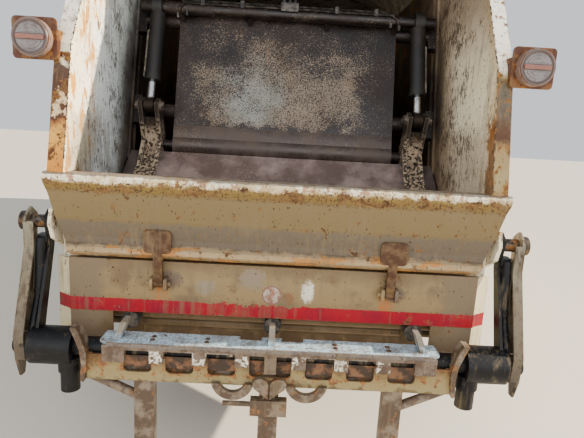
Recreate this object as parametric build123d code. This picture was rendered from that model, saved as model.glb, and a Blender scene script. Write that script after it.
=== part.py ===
from build123d import *

import os
from math import atan2, cos, degrees, hypot, radians, sin

# Rear loading refuse truck, two axles, cab over the engine, millimetres.
# +Y points forward, +X to the vehicle's right, +Z up; the ground is z = 0 and the
# origin lies below the middle of the whole vehicle.

# Overall
FRONT_END = 4100
REAR_END = -4100
BODY_HALF = 1100
BODY_FLOOR = 1120
BODY_TOP = 3200
BODY_FRONT = 2150
BODY_REAR = -2250
MOVING_GAP = 10
RUN_GAP = 0.4

# Wheels
TYRE_R = 525
TYRE_W = 280
RIM_R = 286
FRONT_AXLE_Y = 2760
REAR_AXLE_Y = -1440
FRONT_TRACK_HALF = 1020
TWIN_INNER_X = 762
TWIN_OUTER_X = 1078
KINGPIN_X = 850

# Towing clevis
TOW_PIN_Y = 4045
TOW_PIN_Z = 630
TOW_PIN_R = 20

# Chassis frame
RAIL_X = 390
RAIL_TOP = 1000
RAIL_DEEP = 250
RAIL_FLANGE = 80
RAIL_WALL = 8
RAIL_FRONT = 3880
FRONT_SEAT = 610
REAR_SEAT = 596
SPRING_RISE = 60
GUARD_IN = 860
GUARD_OUT = 1165
EXHAUST_Z = 650
RAIL_REAR = -2180

# Cab
CAB_HALF = BODY_HALF + 50
CAB_REAR = 2350
CAB_FRONT = 4050
CAB_FLOOR = 1130
CAB_SKIRT = 930
CAB_TOP = 2850
CAB_WALL = 40
WAIST = 1750
DOOR_REAR = 2950
DOOR_FRONT = 3780
DOOR_TOP = CAB_TOP - 190
DOOR_GAP = 6
DOOR_AXIS = (CAB_HALF + 12, DOOR_FRONT + 3)
HINGE_LOWS = (1300, 1640)
GLASS = 6
TUNNEL_HALF = 450
TUNNEL_TOP = 1340
TILT_PIVOT = (3900, 900)
TILT_PIN_R = 18
REST_GAP = 0.5
PIN_GAP = 0.06
STEP_REAR = FRONT_AXLE_Y + TYRE_R + 145
STEP_LONG = 450
STEP_OUT = CAB_HALF + 40
STEP_IN = STEP_OUT - 190
MIRROR_IN = CAB_HALF + 80

# Tailgate: side view points (y, z)
LIFT_HINGE = (-2250, 3300)
GATE_FRONT = BODY_REAR - MOVING_GAP
GATE_ROOF_END = (-3140, 3190)
GATE_BREAK = (-3800, 2110)
LIP = (-3930, 1530)
WALL_BACK_Y = -3780
WALL_LOW = 690
GATE_HALF = BODY_HALF - 40
GATE_INNER = GATE_HALF - 75
GATE_SHEET = 10
TROUGH_AXIS = (-3260, 1190)
TROUGH_R = 560
TROUGH_SHEET = 10
TROUGH_START = 190
TROUGH_END = 300
PANEL_Y = -3835
PANEL_TOP = 1100
PANEL_LOW = 840
PANEL_FOOT = 700
PANEL_FACET = 50
BUFFER_X = 715
BUFFER_Z = 792
BUFFER_R = 44
LAMP_X = GATE_HALF + 73
LAMP_Z = 2118
LAMP_R = 84
LAMP_PLATE = (100, 92)

# Packing mechanism
CARRIAGE_LOW = (-2940, 1670)
CARRIAGE_HIGH = (-2720, 2540)
CARRIAGE_THICK = 110
BLADE_HINGE = (-2900, 1620)
BLADE_HINGE_R = 47
BLADE_REACH = 620
BLADE_ANGLE = 55
BLADE_HALF = GATE_INNER - 21
CARRIAGE_HALF = BLADE_HALF - 259
SHOE_HALF = 35
TRACK_THICK = 13
TRACK_REACH = (-150, 1240)
CRANK_X = BLADE_HALF - 129
CRANK_GAP = 38
CRANK_PLATE = 25
EYE_GAP = 0.4
CRANK_EYE = (-3010, 1860)
BLADE_CYL_TOP = (-2790, 2480)

# Loading flap
FLAP_HINGE = (-3868, 1004)
STRAP_X = 565
FLAP_FOOT = 1127
FLAP_SHRINK = 95

# Bin lifter
LIFT_PIVOT = (-3840, 1280)
ARM_IN = GATE_HALF + 29
ARM_OUT = ARM_IN + 100
ARM_GAP = 6
ARM_STRIP = 46
SHAFT = (-3985, 716)
SHAFT_R = 48
HUB_END = 90
HUB_START = ARM_IN - 164
CLAMP_TOP = 790
COMB_HALF = ARM_IN - 237
CLAMP_HALF = COMB_HALF - 67
TOOTH_MID_GAP = 260
TOOTH_PITCH = (CLAMP_HALF - 70 - TOOTH_MID_GAP / 2) / 3
TOOTH_W = 65
TOOTH_TALL = 80
COMB_LOW = 588
COMB_TOP = 712
COMB_DEEP = 48
NOTCH_LOW = 632
NOTCH_R = 22
LEG_LOW = 240
LEG_X = 590

# Tailgate cylinders
GATE_CYL_X = BODY_HALF + 115
GATE_CYL_R = 40
GATE_CYL_BASE = (-2120, 1500)
GATE_CYL_EYE = (-2750, 2750)


def block(x, y, z):
    """A box between the two values given for each axis."""
    middle = [(a + b) / 2 for a, b in (x, y, z)]
    size = [abs(b - a) for a, b in (x, y, z)]
    return Pos(*middle) * Box(*size)


def side_plate(points, x):
    """A plate with its outline (y, z) in the side view, between two x values."""
    face = make_face(Polyline(*[(x[0], y, z) for y, z in points], close=True))
    return extrude(face, x[1] - x[0], dir=(1, 0, 0))


def rear_plate(points, y):
    """A plate with its outline (x, z) in the rear view, between two y values."""
    face = make_face(Polyline(*[(px, y[0], pz) for px, pz in points], close=True))
    return extrude(face, y[1] - y[0], dir=(0, 1, 0))


def plan_plate(points, z):
    """A plate with its outline (x, y) seen from above, between two z values."""
    face = make_face(Polyline(*[(px, py, z[0]) for px, py in points], close=True))
    return extrude(face, z[1] - z[0], dir=(0, 0, 1))


def tube(start, end, radius):
    """A round bar between two points."""
    base = Vector(*start)
    run = Vector(*end) - base
    return Plane(origin=base, z_dir=run) * Cylinder(
        radius, run.length, align=(Align.CENTER, Align.CENTER, Align.MIN)
    )


def cross_tube(point, x, radius):
    """A round bar along X through a side view point (y, z)."""
    return tube((x[0], *point), (x[1], *point), radius)


def both(shape):
    """A piece of the right side with its mirror image on the left."""
    return shape + mirror(shape, about=Plane.YZ)


def offset_line(points, distance):
    """The line through side view points moved to its left by a distance."""
    moved = []
    for i, (y, z) in enumerate(points):
        normals = []
        for a, b in ((i - 1, i), (i, i + 1)):
            if a < 0 or b >= len(points):
                continue
            dy = points[b][0] - points[a][0]
            dz = points[b][1] - points[a][1]
            normals.append((-dz / hypot(dy, dz), dy / hypot(dy, dz)))
        ny = sum(n[0] for n in normals)
        nz = sum(n[1] for n in normals)
        reach = distance / (ny * normals[0][0] + nz * normals[0][1])
        moved.append((y + ny * reach, z + nz * reach))
    return moved


def folded(points, thickness, x):
    """A folded sheet: a side view line thickened to its left, between two x values."""
    return side_plate(points + offset_line(points, thickness)[::-1], x)


def turned(point, angle, reach):
    """The side view point at a reach and an angle (from +Y towards +Z) from a point."""
    return (point[0] + reach * cos(radians(angle)), point[1] + reach * sin(radians(angle)))


def direction(start, end):
    """The unit step from one side view point to another, and their distance."""
    run = hypot(end[0] - start[0], end[1] - start[1])
    return (end[0] - start[0]) / run, (end[1] - start[1]) / run, run


def along(start, end, distance):
    """The side view point at a distance from the start, towards the end."""
    dy, dz, _ = direction(start, end)
    return start[0] + dy * distance, start[1] + dz * distance


# Chassis

def frame_rails():
    """Two pressed channel rails and the crossmembers that join them."""
    low = RAIL_TOP - RAIL_DEEP
    outer = RAIL_X + RAIL_FLANGE / 2
    rail = block((outer - RAIL_FLANGE, outer), (RAIL_REAR, RAIL_FRONT), (low, RAIL_TOP))
    hollow = block(
        (outer - RAIL_FLANGE - 1, outer - RAIL_WALL),
        (RAIL_REAR - 1, RAIL_FRONT + 1),
        (low + RAIL_WALL, RAIL_TOP - RAIL_WALL),
    )
    frame = both(rail - hollow)
    for y in (-2120, -1900, -980, 600, RAIL_FRONT - 35):
        member = block((-outer + RAIL_WALL, outer - RAIL_WALL), (y - 35, y + 35), (low + 45, RAIL_TOP - 45))
        member -= block((-outer, outer), (y - 27, y + 36), (low + 53, RAIL_TOP - 53))
        frame += member
    py, pz = TILT_PIVOT
    ear = [(py - 60, pz - 140), (py - 60, pz + 95), (py, pz + 36), (py + 34, pz), (py, pz - 34), (py - 20, pz - 140)]
    ears = side_plate(ear, (outer - 8, outer)) + side_plate(ear, (outer - 80, outer - 72))
    ears += cross_tube(TILT_PIVOT, (outer - 84, outer + 4), TILT_PIN_R)
    rest = block((outer, 545), (CAB_REAR + 45, CAB_REAR + 105), (RAIL_TOP - 50, CAB_FLOOR - REST_GAP))
    return frame + both(ears) + both(rest)


def leaf_springs():
    """Four packs of arched leaves under the rails, each with its two hangers."""
    # axle y, half length, leaves, x, axle seat z
    table = ((FRONT_AXLE_Y, 720, 3, RAIL_X, FRONT_SEAT), (REAR_AXLE_Y, 680, 5, RAIL_X, REAR_SEAT))
    packs = Part()
    for axle_y, half, leaves, x, seat in table:
        for i in range(leaves):
            reach = half - 110 * i
            low = seat + 16 * (leaves - 1 - i)
            rise = SPRING_RISE * (reach / half) ** 2
            arch = make_face(
                ThreePointArc((x, axle_y - reach, low + rise), (x, axle_y, low), (x, axle_y + reach, low + rise))
                + Line((x, axle_y + reach, low + rise), (x, axle_y + reach, low + rise + 16))
                + ThreePointArc(
                    (x, axle_y + reach, low + rise + 16), (x, axle_y, low + 16), (x, axle_y - reach, low + rise + 16)
                )
                + Line((x, axle_y - reach, low + rise + 16), (x, axle_y - reach, low + rise))
            )
            packs += extrude(arch, 38, dir=(1, 0, 0), both=True)
        top = seat + 16 * (leaves - 1) + SPRING_RISE
        for end in (-1, 1):
            y = axle_y + end * (half - 20)
            packs += block((x - 30, x + 30), (y - 35, y + 35), (top, RAIL_TOP - RAIL_DEEP))
    return both(packs)


def front_axle():
    """Forged beam, dropped in the middle, with a kingpin at each end."""
    half = [
        (0, 430), (420, 430), (520, 465), (KINGPIN_X - 60, 465), (KINGPIN_X - 60, 585),
        (520, 585), (440, 595), (0, 560),
    ]
    beam = both(rear_plate(half, (FRONT_AXLE_Y - 45, FRONT_AXLE_Y + 45)))
    beam += both(block((RAIL_X - 45, RAIL_X + 45), (FRONT_AXLE_Y - 70, FRONT_AXLE_Y + 70), (550, FRONT_SEAT)))
    eye = tube((KINGPIN_X, FRONT_AXLE_Y, 460), (KINGPIN_X, FRONT_AXLE_Y, 590), 48)
    eye += block((KINGPIN_X - 70, KINGPIN_X), (FRONT_AXLE_Y - 40, FRONT_AXLE_Y + 40), (465, 585))
    pin = tube((KINGPIN_X, FRONT_AXLE_Y, 400), (KINGPIN_X, FRONT_AXLE_Y, 650), 20)
    return beam + both(eye + pin)


def rear_axle():
    """Axle tube with its round differential housing, flanges and spring seats."""
    axle = cross_tube((REAR_AXLE_Y, TYRE_R), (-880, 880), 62)
    axle += Pos(0, REAR_AXLE_Y, TYRE_R) * Sphere(215)
    axle += tube((0, REAR_AXLE_Y, TYRE_R), (0, REAR_AXLE_Y + 330, TYRE_R), 75)
    axle += both(block((RAIL_X - 45, RAIL_X + 45), (REAR_AXLE_Y - 75, REAR_AXLE_Y + 75), (TYRE_R, REAR_SEAT)))
    axle += both(cross_tube((REAR_AXLE_Y, TYRE_R), (560, 580), 150))
    return axle


def knuckle():
    """Right steering knuckle: a yoke round the kingpin, the stub axle and an arm."""
    yoke = block((KINGPIN_X - 50, KINGPIN_X + 70), (FRONT_AXLE_Y - 55, FRONT_AXLE_Y + 55), (405, 645))
    yoke -= block((KINGPIN_X - 120, KINGPIN_X + 56), (FRONT_AXLE_Y - 70, FRONT_AXLE_Y + 70), (452, 598))
    yoke -= tube((KINGPIN_X, FRONT_AXLE_Y, 390), (KINGPIN_X, FRONT_AXLE_Y, 660), 20 + PIN_GAP)
    stub = cross_tube((FRONT_AXLE_Y, TYRE_R), (KINGPIN_X + 60, 1090), 40)
    arm = side_plate(
        [(FRONT_AXLE_Y - 40, 420), (FRONT_AXLE_Y - 240, 420), (FRONT_AXLE_Y - 240, 445), (FRONT_AXLE_Y - 40, 445)],
        (KINGPIN_X - 40, KINGPIN_X + 10),
    )
    return yoke + stub + arm


def wheel_parts(inner_x, faces_out):
    """One tyre and its dished steel rim, centred on its own middle plane at x = 0."""
    half = TYRE_W / 2
    tyre_profile = [
        (RIM_R, -half + 30), (TYRE_R - 110, -half), (TYRE_R - 40, -half + 8), (TYRE_R, -half + 45),
        (TYRE_R, half - 45), (TYRE_R - 40, half - 8), (TYRE_R - 110, half), (RIM_R, half - 30),
    ]
    tyre_face = make_face(Polyline(*[(x, 0, r) for r, x in tyre_profile], close=True))
    tyre = revolve(tyre_face, Axis.X)
    out = 1 if faces_out else -1
    rim_profile = [
        (RIM_R, -half + 32), (RIM_R, half - 32), (RIM_R - 14, half - 32), (RIM_R - 30, half - 60),
        (RIM_R - 30, -half + 60), (RIM_R - 14, -half + 32),
    ]
    rim = revolve(make_face(Polyline(*[(x, 0, r) for r, x in rim_profile], close=True)), Axis.X)
    disc_x = out * inner_x
    dish_x = out * 70
    disc_profile = [
        (80, disc_x - 8), (190, disc_x - 8), (RIM_R - 25, dish_x - 8), (RIM_R - 25, dish_x + 8),
        (190, disc_x + 8), (80, disc_x + 8),
    ]
    disc = revolve(make_face(Polyline(*[(x, 0, r) for r, x in disc_profile], close=True)), Axis.X)
    for i in range(8):
        a = radians(45 * i)
        disc -= tube((-200, 225 * cos(a), 225 * sin(a)), (200, 225 * cos(a), 225 * sin(a)), 24)
    return tyre, rim + disc


def front_wheel():
    """Right front wheel: the disc is dished inwards, with the hub proud of it."""
    tyre, rim = wheel_parts(-20, False)
    rim += cross_tube((0, 0), (-60, 75), 100) + cross_tube((0, 0), (-20, 10), 200)
    rim -= cross_tube((0, 0), (-200, 71), 40 + PIN_GAP)
    place = Pos(FRONT_TRACK_HALF, FRONT_AXLE_Y, TYRE_R)
    return place * tyre, place * rim


def rear_wheels():
    """Right pair of twin wheels on one hub, discs back to back."""
    tyre, rim_out = wheel_parts(-60, True)
    _, rim_in = wheel_parts(-60, True)
    inner = Pos(TWIN_INNER_X, REAR_AXLE_Y, TYRE_R)
    outer = Pos(TWIN_OUTER_X, REAR_AXLE_Y, TYRE_R)
    turned_in = mirror(rim_in, about=Plane.YZ)
    rims = outer * rim_out + inner * turned_in
    middle = (TWIN_INNER_X + TWIN_OUTER_X) / 2
    rims += Pos(0, REAR_AXLE_Y, TYRE_R) * cross_tube((0, 0), (middle - 108, middle + 108), 195)
    rims += Pos(0, REAR_AXLE_Y, TYRE_R) * cross_tube((0, 0), (680, 1100), 105)
    rims -= Pos(0, REAR_AXLE_Y, TYRE_R) * cross_tube((0, 0), (600, 885), 62 + PIN_GAP)
    return inner * tyre + outer * tyre, rims


def engine_block():
    """Engine and gearbox, closed away under the cab: one plain mass."""
    return block((-300, 300), (2420, 3600), (690, 1300)) + block((-190, 190), (1650, 2430), (720, 1080))


def propeller_shaft():
    """Open shaft from the gearbox to the differential."""
    start = (0, 1600, 850)
    end = (0, REAR_AXLE_Y + 380, TYRE_R)
    shaft = tube(start, end, 45)
    shaft += tube((0, 1650, 850), (0, 1560, 850), 70)
    return shaft + tube((0, REAR_AXLE_Y + 330, TYRE_R), (0, REAR_AXLE_Y + 410, TYRE_R), 62)


def front_bumper():
    """Folded steel bumper with raked ends, lamp openings and a towing clevis."""
    outline = [(0, 3960), (1200, 3960), (1200, 4010), (1130, FRONT_END), (0, FRONT_END)]
    face = make_face(Polyline(*[(x, y, 440) for x, y in outline], close=True))
    bumper = both(extrude(face, 345, dir=(0, 0, 1)))
    bumper -= block((-1170, 1170), (3900, 4070), (470, 755))
    bumper -= both(block((760, 1060), (4000, 4200), (560, 700)))
    brackets = both(block((RAIL_X - 30, RAIL_X + 30), (RAIL_FRONT, 4070), (760, 785)))
    brackets += both(block((RAIL_X - 30, RAIL_X + 30), (RAIL_FRONT, 3895), (650, 785)))
    jaw = [(-50, RAIL_FRONT), (50, RAIL_FRONT), (50, TOW_PIN_Y + 25), (25, FRONT_END - 5), (-25, FRONT_END - 5),
           (-50, TOW_PIN_Y + 25)]
    clevis = plan_plate(jaw, (TOW_PIN_Z - 40, TOW_PIN_Z - 18)) + plan_plate(jaw, (TOW_PIN_Z + 18, TOW_PIN_Z + 40))
    clevis += block((-60, 60), (RAIL_FRONT, RAIL_FRONT + 30), (560, 900))
    clevis -= tube((0, TOW_PIN_Y, 500), (0, TOW_PIN_Y, 800), TOW_PIN_R)
    bumper -= block((-90, 90), (3900, 4200), (430, 720))
    return bumper + brackets + clevis


def headlamps():
    """Rectangular lamp units behind the bumper's openings."""
    return both(block((760, 1060), (4030, 4090), (560, 700)))


def entry_steps():
    """Two open treads below each door, between end plates."""
    rear, front = STEP_REAR, STEP_REAR + STEP_LONG
    inner, outer = STEP_IN, STEP_OUT
    steps = block((inner, outer), (rear, rear + 10), (420, 900)) + block((inner, outer), (front - 10, front), (420, 900))
    steps += block((inner, inner + 10), (rear, front), (420, 900))
    for z in (430, 740):
        tread = block((inner, outer), (rear, front), (z, z + 30))
        for i in range(5):
            y = rear + 50 + 80 * i
            tread -= block((inner + 40, outer - 20), (y, y + 40), (z - 1, z + 31))
        steps += tread
    steps += block((RAIL_X + 40, inner + 5), (rear + 170, rear + 210), (780, 840))
    return both(steps)


def fuel_tank():
    """Rounded tank on two brackets, right side."""
    tank = fillet(block((600, 1160), (350, 1250), (430, 930)).edges().filter_by(Axis.Y), 90)
    straps = Part()
    for y in (520, 1080):
        straps += block((RAIL_X + 40, 600), (y - 30, y + 30), (700, 900))
        band = fillet(block((594, 1166), (y - 25, y + 25), (424, 936)).edges().filter_by(Axis.Y), 96)
        straps += band
    filler = tube((1020, 700, 925), (1020, 700, 985), 45)
    return tank + straps + filler


def air_tanks():
    """Battery box and two air reservoirs, left side."""
    case = fillet(block((-1160, -760), (950, 1500), (480, 900)).edges().filter_by(Axis.X), 15)
    case += block((-760, -RAIL_X - 40), (1180, 1260), (760, 880))
    bottles = Part()
    for z in (560, 800):
        bottle = tube((-950, 20, z), (-950, 860, z), 110)
        bottles += fillet(bottle.edges(), 50)
    for y in (200, 680):
        bottles += block((-960, -RAIL_X - 40), (y - 20, y + 20), (540, 860))
    return case + bottles


def side_guards():
    """Two rails on posts between the axles, each side."""
    guard = Part()
    for z in (520, 820):
        guard += block((1175, 1200), (-780, 2000), (z, z + 100))
    for y in (-700, 1600, 1950):
        guard += block((1150, 1175), (y - 25, y + 25), (500, 1040))
        guard += block((RAIL_X + 40, 1175), (y - 25, y + 25), (1000, 1040))
    return both(guard)


def front_mudguards():
    """Folded sheets over the steered wheels, each on two bars from the frame."""
    y = FRONT_AXLE_Y
    top = TYRE_R * 2 + 35
    line = [(y - 600, 780), (y - 520, 960), (y - 300, top), (y + 300, top), (y + 520, 960), (y + 575, 800)]
    guard = folded(line, 5, (GUARD_IN, GUARD_OUT))
    for reach in (-535, 535):
        guard += block((RAIL_X + 40, GUARD_IN + 20), (y + reach - 18, y + reach + 18), (930, 960))
    return both(guard)


def exhaust():
    """Pipe from the engine along the left rail, under it, and the silencer outside."""
    inner, outer = -250, -640
    pipe = tube((inner, 2445, EXHAUST_Z + 40), (inner, 2445, EXHAUST_Z), 30)
    pipe += Pos(inner, 2445, EXHAUST_Z) * Sphere(30)
    pipe += tube((inner, 2445, EXHAUST_Z), (inner, 1900, EXHAUST_Z), 30)
    pipe += Pos(inner, 1900, EXHAUST_Z) * Sphere(30)
    pipe += tube((inner, 1900, EXHAUST_Z), (outer, 1900, EXHAUST_Z), 30)
    silencer = tube((outer, 1950, EXHAUST_Z), (outer, 1540, EXHAUST_Z), 110)
    silencer = fillet(silencer.edges().filter_by(GeomType.CIRCLE), 25)
    tail = tube((outer, 1545, EXHAUST_Z), (outer, 1450, EXHAUST_Z), 28)
    hanger = block((outer - 20, -RAIL_X - 40), (1720, 1760), (EXHAUST_Z + 95, EXHAUST_Z + 150))
    return pipe + silencer + tail + hanger


def rear_mudguards():
    """Arched sheets over the twin wheels with flat flaps behind them."""
    wide = (TWIN_INNER_X - TYRE_W / 2 + 18, TWIN_OUTER_X + TYRE_W / 2 + 7)
    ring = cross_tube((REAR_AXLE_Y, TYRE_R), wide, TYRE_R + 21)
    ring -= cross_tube((REAR_AXLE_Y, TYRE_R), (600, 1300), TYRE_R + 15)
    ring -= block((600, 1300), (REAR_AXLE_Y - 700, REAR_AXLE_Y), (-100, 560))
    ring -= block((600, 1300), (REAR_AXLE_Y - 1, REAR_AXLE_Y + 700), (-100, 720))
    flap_y = REAR_AXLE_Y - TYRE_R - 14
    ring += block(wide, (flap_y - 8, flap_y), (300, 575))
    for side in (-1, 1):
        inner, outer = REAR_AXLE_Y + side * 395, REAR_AXLE_Y + side * 435
        ring += block((RAIL_X + 40, 660), (inner, outer), (895, 925))
    return both(ring)


# Load body

def body_arch(inset, z_low, y):
    """The body's cross-section: upright sides and a roof with round shoulders."""
    half = BODY_HALF - inset
    top = BODY_TOP - inset
    section = block((-half, half), y, (z_low, top))
    return fillet(section.edges().filter_by(Axis.Y).sort_by(Axis.Z)[-2:], 260 - inset)


def body_floor():
    """Load floor on two subframe rails and cross bearers."""
    floor = block((-BODY_HALF, BODY_HALF), (BODY_REAR, BODY_FRONT), (BODY_FLOOR - 40, BODY_FLOOR))
    floor += both(block((RAIL_X - 40, RAIL_X + 40), (RAIL_REAR, BODY_FRONT), (RAIL_TOP, BODY_FLOOR - 40)))
    for y in (-2090, -700, 0, 700, 1400, 2080):
        floor += both(block((RAIL_X + 40, BODY_HALF - 20), (y - 30, y + 30), (BODY_FLOOR - 80, BODY_FLOOR - 40)))
    return floor


SHOULDER = BODY_TOP - 300


def body_sides():
    """Two upright walls with pressed ribs outside."""
    wall = block((BODY_HALF - 30, BODY_HALF), (BODY_REAR, BODY_FRONT), (BODY_FLOOR, SHOULDER))
    for i in range(6):
        y = BODY_REAR + 480 + 700 * i
        wall += block((BODY_HALF, BODY_HALF + 60), (y - 50, y + 50), (BODY_FLOOR - 40, SHOULDER))
    wall += block((BODY_HALF, BODY_HALF + 45), (BODY_REAR + 110, BODY_FRONT), (BODY_FLOOR - 40, BODY_FLOOR + 60))
    return both(wall)


def body_roof():
    """Arched roof sheet with round shoulders and ribs that carry on from the walls."""
    full = (BODY_REAR, BODY_FRONT)
    roof = body_arch(0, SHOULDER, full) - body_arch(30, SHOULDER - 50, (full[0] - 5, full[1] + 5))
    for i in range(6):
        y = BODY_REAR + 480 + 700 * i
        rib = block((-BODY_HALF - 60, BODY_HALF + 60), (y - 50, y + 50), (SHOULDER, BODY_TOP + 45))
        rib = fillet(rib.edges().filter_by(Axis.Y).sort_by(Axis.Z)[-2:], 300)
        roof += rib - body_arch(15, SHOULDER - 50, (y - 60, y + 60))
    return roof


def body_front():
    """Bulkhead in front of the ejector plate."""
    return body_arch(31, BODY_FLOOR, (BODY_FRONT - 40, BODY_FRONT - 6))


def body_rear_frame():
    """Square ring round the body's rear opening with the tailgate's hinge lugs."""
    half = BODY_HALF + 65
    ring = block((-half, half), (BODY_REAR, BODY_REAR + 110), (BODY_FLOOR - 120, BODY_TOP + 40))
    ring -= body_arch(0, BODY_FLOOR - 40, (BODY_REAR - 5, BODY_REAR + 120))
    ring -= block((-RAIL_X - 60, RAIL_X + 60), (BODY_REAR - 5, BODY_REAR + 120), (0, BODY_FLOOR - 40))
    lugs = Part()
    hy, hz = LIFT_HINGE
    for x in (520, 620):
        lug = side_plate(
            [(hy - 45, hz - 20), (hy - 45, hz + 50), (hy + 60, hz + 50), (hy + 200, BODY_TOP + 30),
             (hy + 200, BODY_TOP + 1), (hy + 4, BODY_TOP + 1), (hy - 4, hz - 40)],
            (x, x + 25),
        )
        lugs += lug
    lugs += cross_tube(LIFT_HINGE, (512, 653), 22)
    foot = both(cross_tube(GATE_CYL_BASE, (BODY_HALF + 60, GATE_CYL_X - 32), 38))
    foot += both(block((BODY_HALF, half), (BODY_REAR, GATE_CYL_BASE[0] + 60),
                       (GATE_CYL_BASE[1] - 90, GATE_CYL_BASE[1] + 90)))
    foot += both(cross_tube(GATE_CYL_BASE, (BODY_HALF + 60, GATE_CYL_X + 40), 22))
    return ring + both(lugs) + foot


def ejector_plate():
    """Plate that pushes the load out: upright below, raked above, with side shoes."""
    y = BODY_FRONT - 120
    line = [(y - 500, BODY_FLOOR + 15), (y - 500, BODY_FLOOR + 420), (y - 120, BODY_FLOOR + 1300), (y - 100, SHOULDER)]
    plate = folded(line, 30, (-BODY_HALF + 45, BODY_HALF - 45))
    rib = side_plate(line[:3] + [(y - 40, BODY_FLOOR + 1300), (y - 40, BODY_FLOOR + 15)], (-20, 20))
    for x in (-900, 0, 900):
        plate += Pos(x, 0, 0) * rib
    shoe = block((BODY_HALF - 90, BODY_HALF - 30 - RUN_GAP), (y - 500, y - 40), (BODY_FLOOR + RUN_GAP, BODY_FLOOR + 80))
    return plate + both(shoe)


# Cab

def cab_outline(inset):
    """Side view outline of the cab, drawn in by an inset."""
    return [
        (CAB_REAR + inset, CAB_FLOOR + inset), (CAB_REAR + inset, CAB_TOP - inset), (3840 - inset, CAB_TOP - inset),
        (3900 - inset, CAB_TOP - 70 - inset), (CAB_FRONT - inset, WAIST), (CAB_FRONT - inset, CAB_SKIRT + inset),
        (STEP_REAR - 10 + inset, CAB_SKIRT + inset), (STEP_REAR - 10 + inset, CAB_FLOOR + inset),
    ]


def door_outline(gap):
    """Side view outline of the door opening, grown by a gap."""
    return [
        (DOOR_REAR - gap, CAB_FLOOR + 40 - gap), (DOOR_REAR - gap, DOOR_TOP + gap), (3740 + gap, DOOR_TOP + gap),
        (DOOR_FRONT + gap, WAIST + 40), (DOOR_FRONT + gap, CAB_FLOOR + 40 - gap),
    ]


def window_outline(inset):
    """Side view outline of the door's window, drawn in by an inset."""
    return [
        (DOOR_REAR + 80 + inset, WAIST + inset), (DOOR_REAR + 80 + inset, DOOR_TOP - 70 - inset),
        (3670 - inset, DOOR_TOP - 70 - inset), (3695 - inset, WAIST + inset),
    ]


def cab_sides():
    """Side panels round the doors."""
    panel = side_plate(cab_outline(0), (CAB_HALF - CAB_WALL, CAB_HALF))
    panel -= side_plate(door_outline(DOOR_GAP), (CAB_HALF - CAB_WALL - 1, CAB_HALF + 1))
    for low in HINGE_LOWS:
        panel += hinge_leaf(low - 40 - RUN_GAP, (DOOR_AXIS[1], DOOR_FRONT + 50))
        panel += tube((*DOOR_AXIS, low - 40), (*DOOR_AXIS, low + 44), 5)
    return both(panel)


def cab_front():
    """Front panel with the windscreen opening."""
    inner = CAB_HALF - CAB_WALL
    panel = folded(
        [(CAB_FRONT, CAB_SKIRT), (CAB_FRONT, WAIST), (3900, CAB_TOP - 70), (3840, CAB_TOP)], CAB_WALL, (-inner, inner)
    )
    panel -= block((-inner + 70, inner - 70), (3700, 4200), (WAIST + 60, CAB_TOP - 120))
    panel -= block((-700, 700), (3900, 4200), (CAB_SKIRT + 90, 1420))
    return panel


def windscreen():
    """Laminated screen set in its opening."""
    inner = CAB_HALF - CAB_WALL - 70
    line = offset_line([(CAB_FRONT, WAIST), (3900, CAB_TOP - 70)], 15)
    low = along(line[0], line[1], 66)
    high = along(line[1], line[0], 60)
    return folded([low, high], GLASS, (-inner, inner))


def grille():
    """Horizontal slats between two uprights."""
    slats = both(block((680, 700), (CAB_FRONT - 35, CAB_FRONT - 5), (CAB_SKIRT + 90, 1420)))
    for i in range(7):
        z = CAB_SKIRT + 110 + 56 * i
        slats += side_plate(
            [(CAB_FRONT - 30, z + 20), (CAB_FRONT - 5, z), (CAB_FRONT - 5, z + 14), (CAB_FRONT - 30, z + 34)],
            (-690, 690),
        )
    return slats


def cab_floor():
    """Floor with the engine tunnel down its middle."""
    inner = CAB_HALF - CAB_WALL
    wall = 20
    outline = [
        (-inner, CAB_FLOOR), (-TUNNEL_HALF, CAB_FLOOR), (-TUNNEL_HALF + 30, TUNNEL_TOP - wall),
        (TUNNEL_HALF - 30, TUNNEL_TOP - wall), (TUNNEL_HALF, CAB_FLOOR), (inner, CAB_FLOOR),
        (inner, CAB_FLOOR + wall), (TUNNEL_HALF + 17, CAB_FLOOR + wall), (TUNNEL_HALF - 13, TUNNEL_TOP),
        (-TUNNEL_HALF + 13, TUNNEL_TOP), (-TUNNEL_HALF - 17, CAB_FLOOR + wall), (-inner, CAB_FLOOR + wall),
    ]
    floor = rear_plate(outline, (CAB_REAR + CAB_WALL, CAB_FRONT - CAB_WALL))
    py, pz = TILT_PIVOT
    top = CAB_FLOOR + 190
    arm = side_plate(
        [(py - 8, top), (py + 90, top), (py + 30, pz + 10), (py + 15, pz - 26), (py - 15, pz - 26), (py - 26, pz),
         (py - 22, pz + 25), (py - 8, pz + 45)],
        (RAIL_X - 18, RAIL_X + 12),
    )
    arm -= cross_tube(TILT_PIVOT, (RAIL_X - 30, RAIL_X + 30), TILT_PIN_R + PIN_GAP)
    return floor + both(arm)


def cab_back():
    """Rear wall with a small window opening each side."""
    inner = CAB_HALF - CAB_WALL
    wall = block((-inner, inner), (CAB_REAR, CAB_REAR + CAB_WALL), (CAB_FLOOR, CAB_TOP - CAB_WALL))
    wall -= both(block((350, 850), (CAB_REAR - 10, CAB_REAR + 60), (WAIST + 200, WAIST + 600)))
    wall -= block((-TUNNEL_HALF + 32, TUNNEL_HALF - 32), (CAB_REAR - 1, CAB_REAR + 60), (CAB_FLOOR - 1, TUNNEL_TOP - 20))
    return wall


def cab_roof():
    """Flat roof panel with a raised centre."""
    inner = CAB_HALF - CAB_WALL
    roof = side_plate(
        [(CAB_REAR, CAB_TOP - CAB_WALL), (CAB_REAR, CAB_TOP), (3839, CAB_TOP), (3809, CAB_TOP - 26),
         (3795, CAB_TOP - CAB_WALL)],
        (-inner, inner),
    )
    roof += block((-inner + 250, inner - 250), (CAB_REAR + 200, 3650), (CAB_TOP, CAB_TOP + 25))
    return roof


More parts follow.
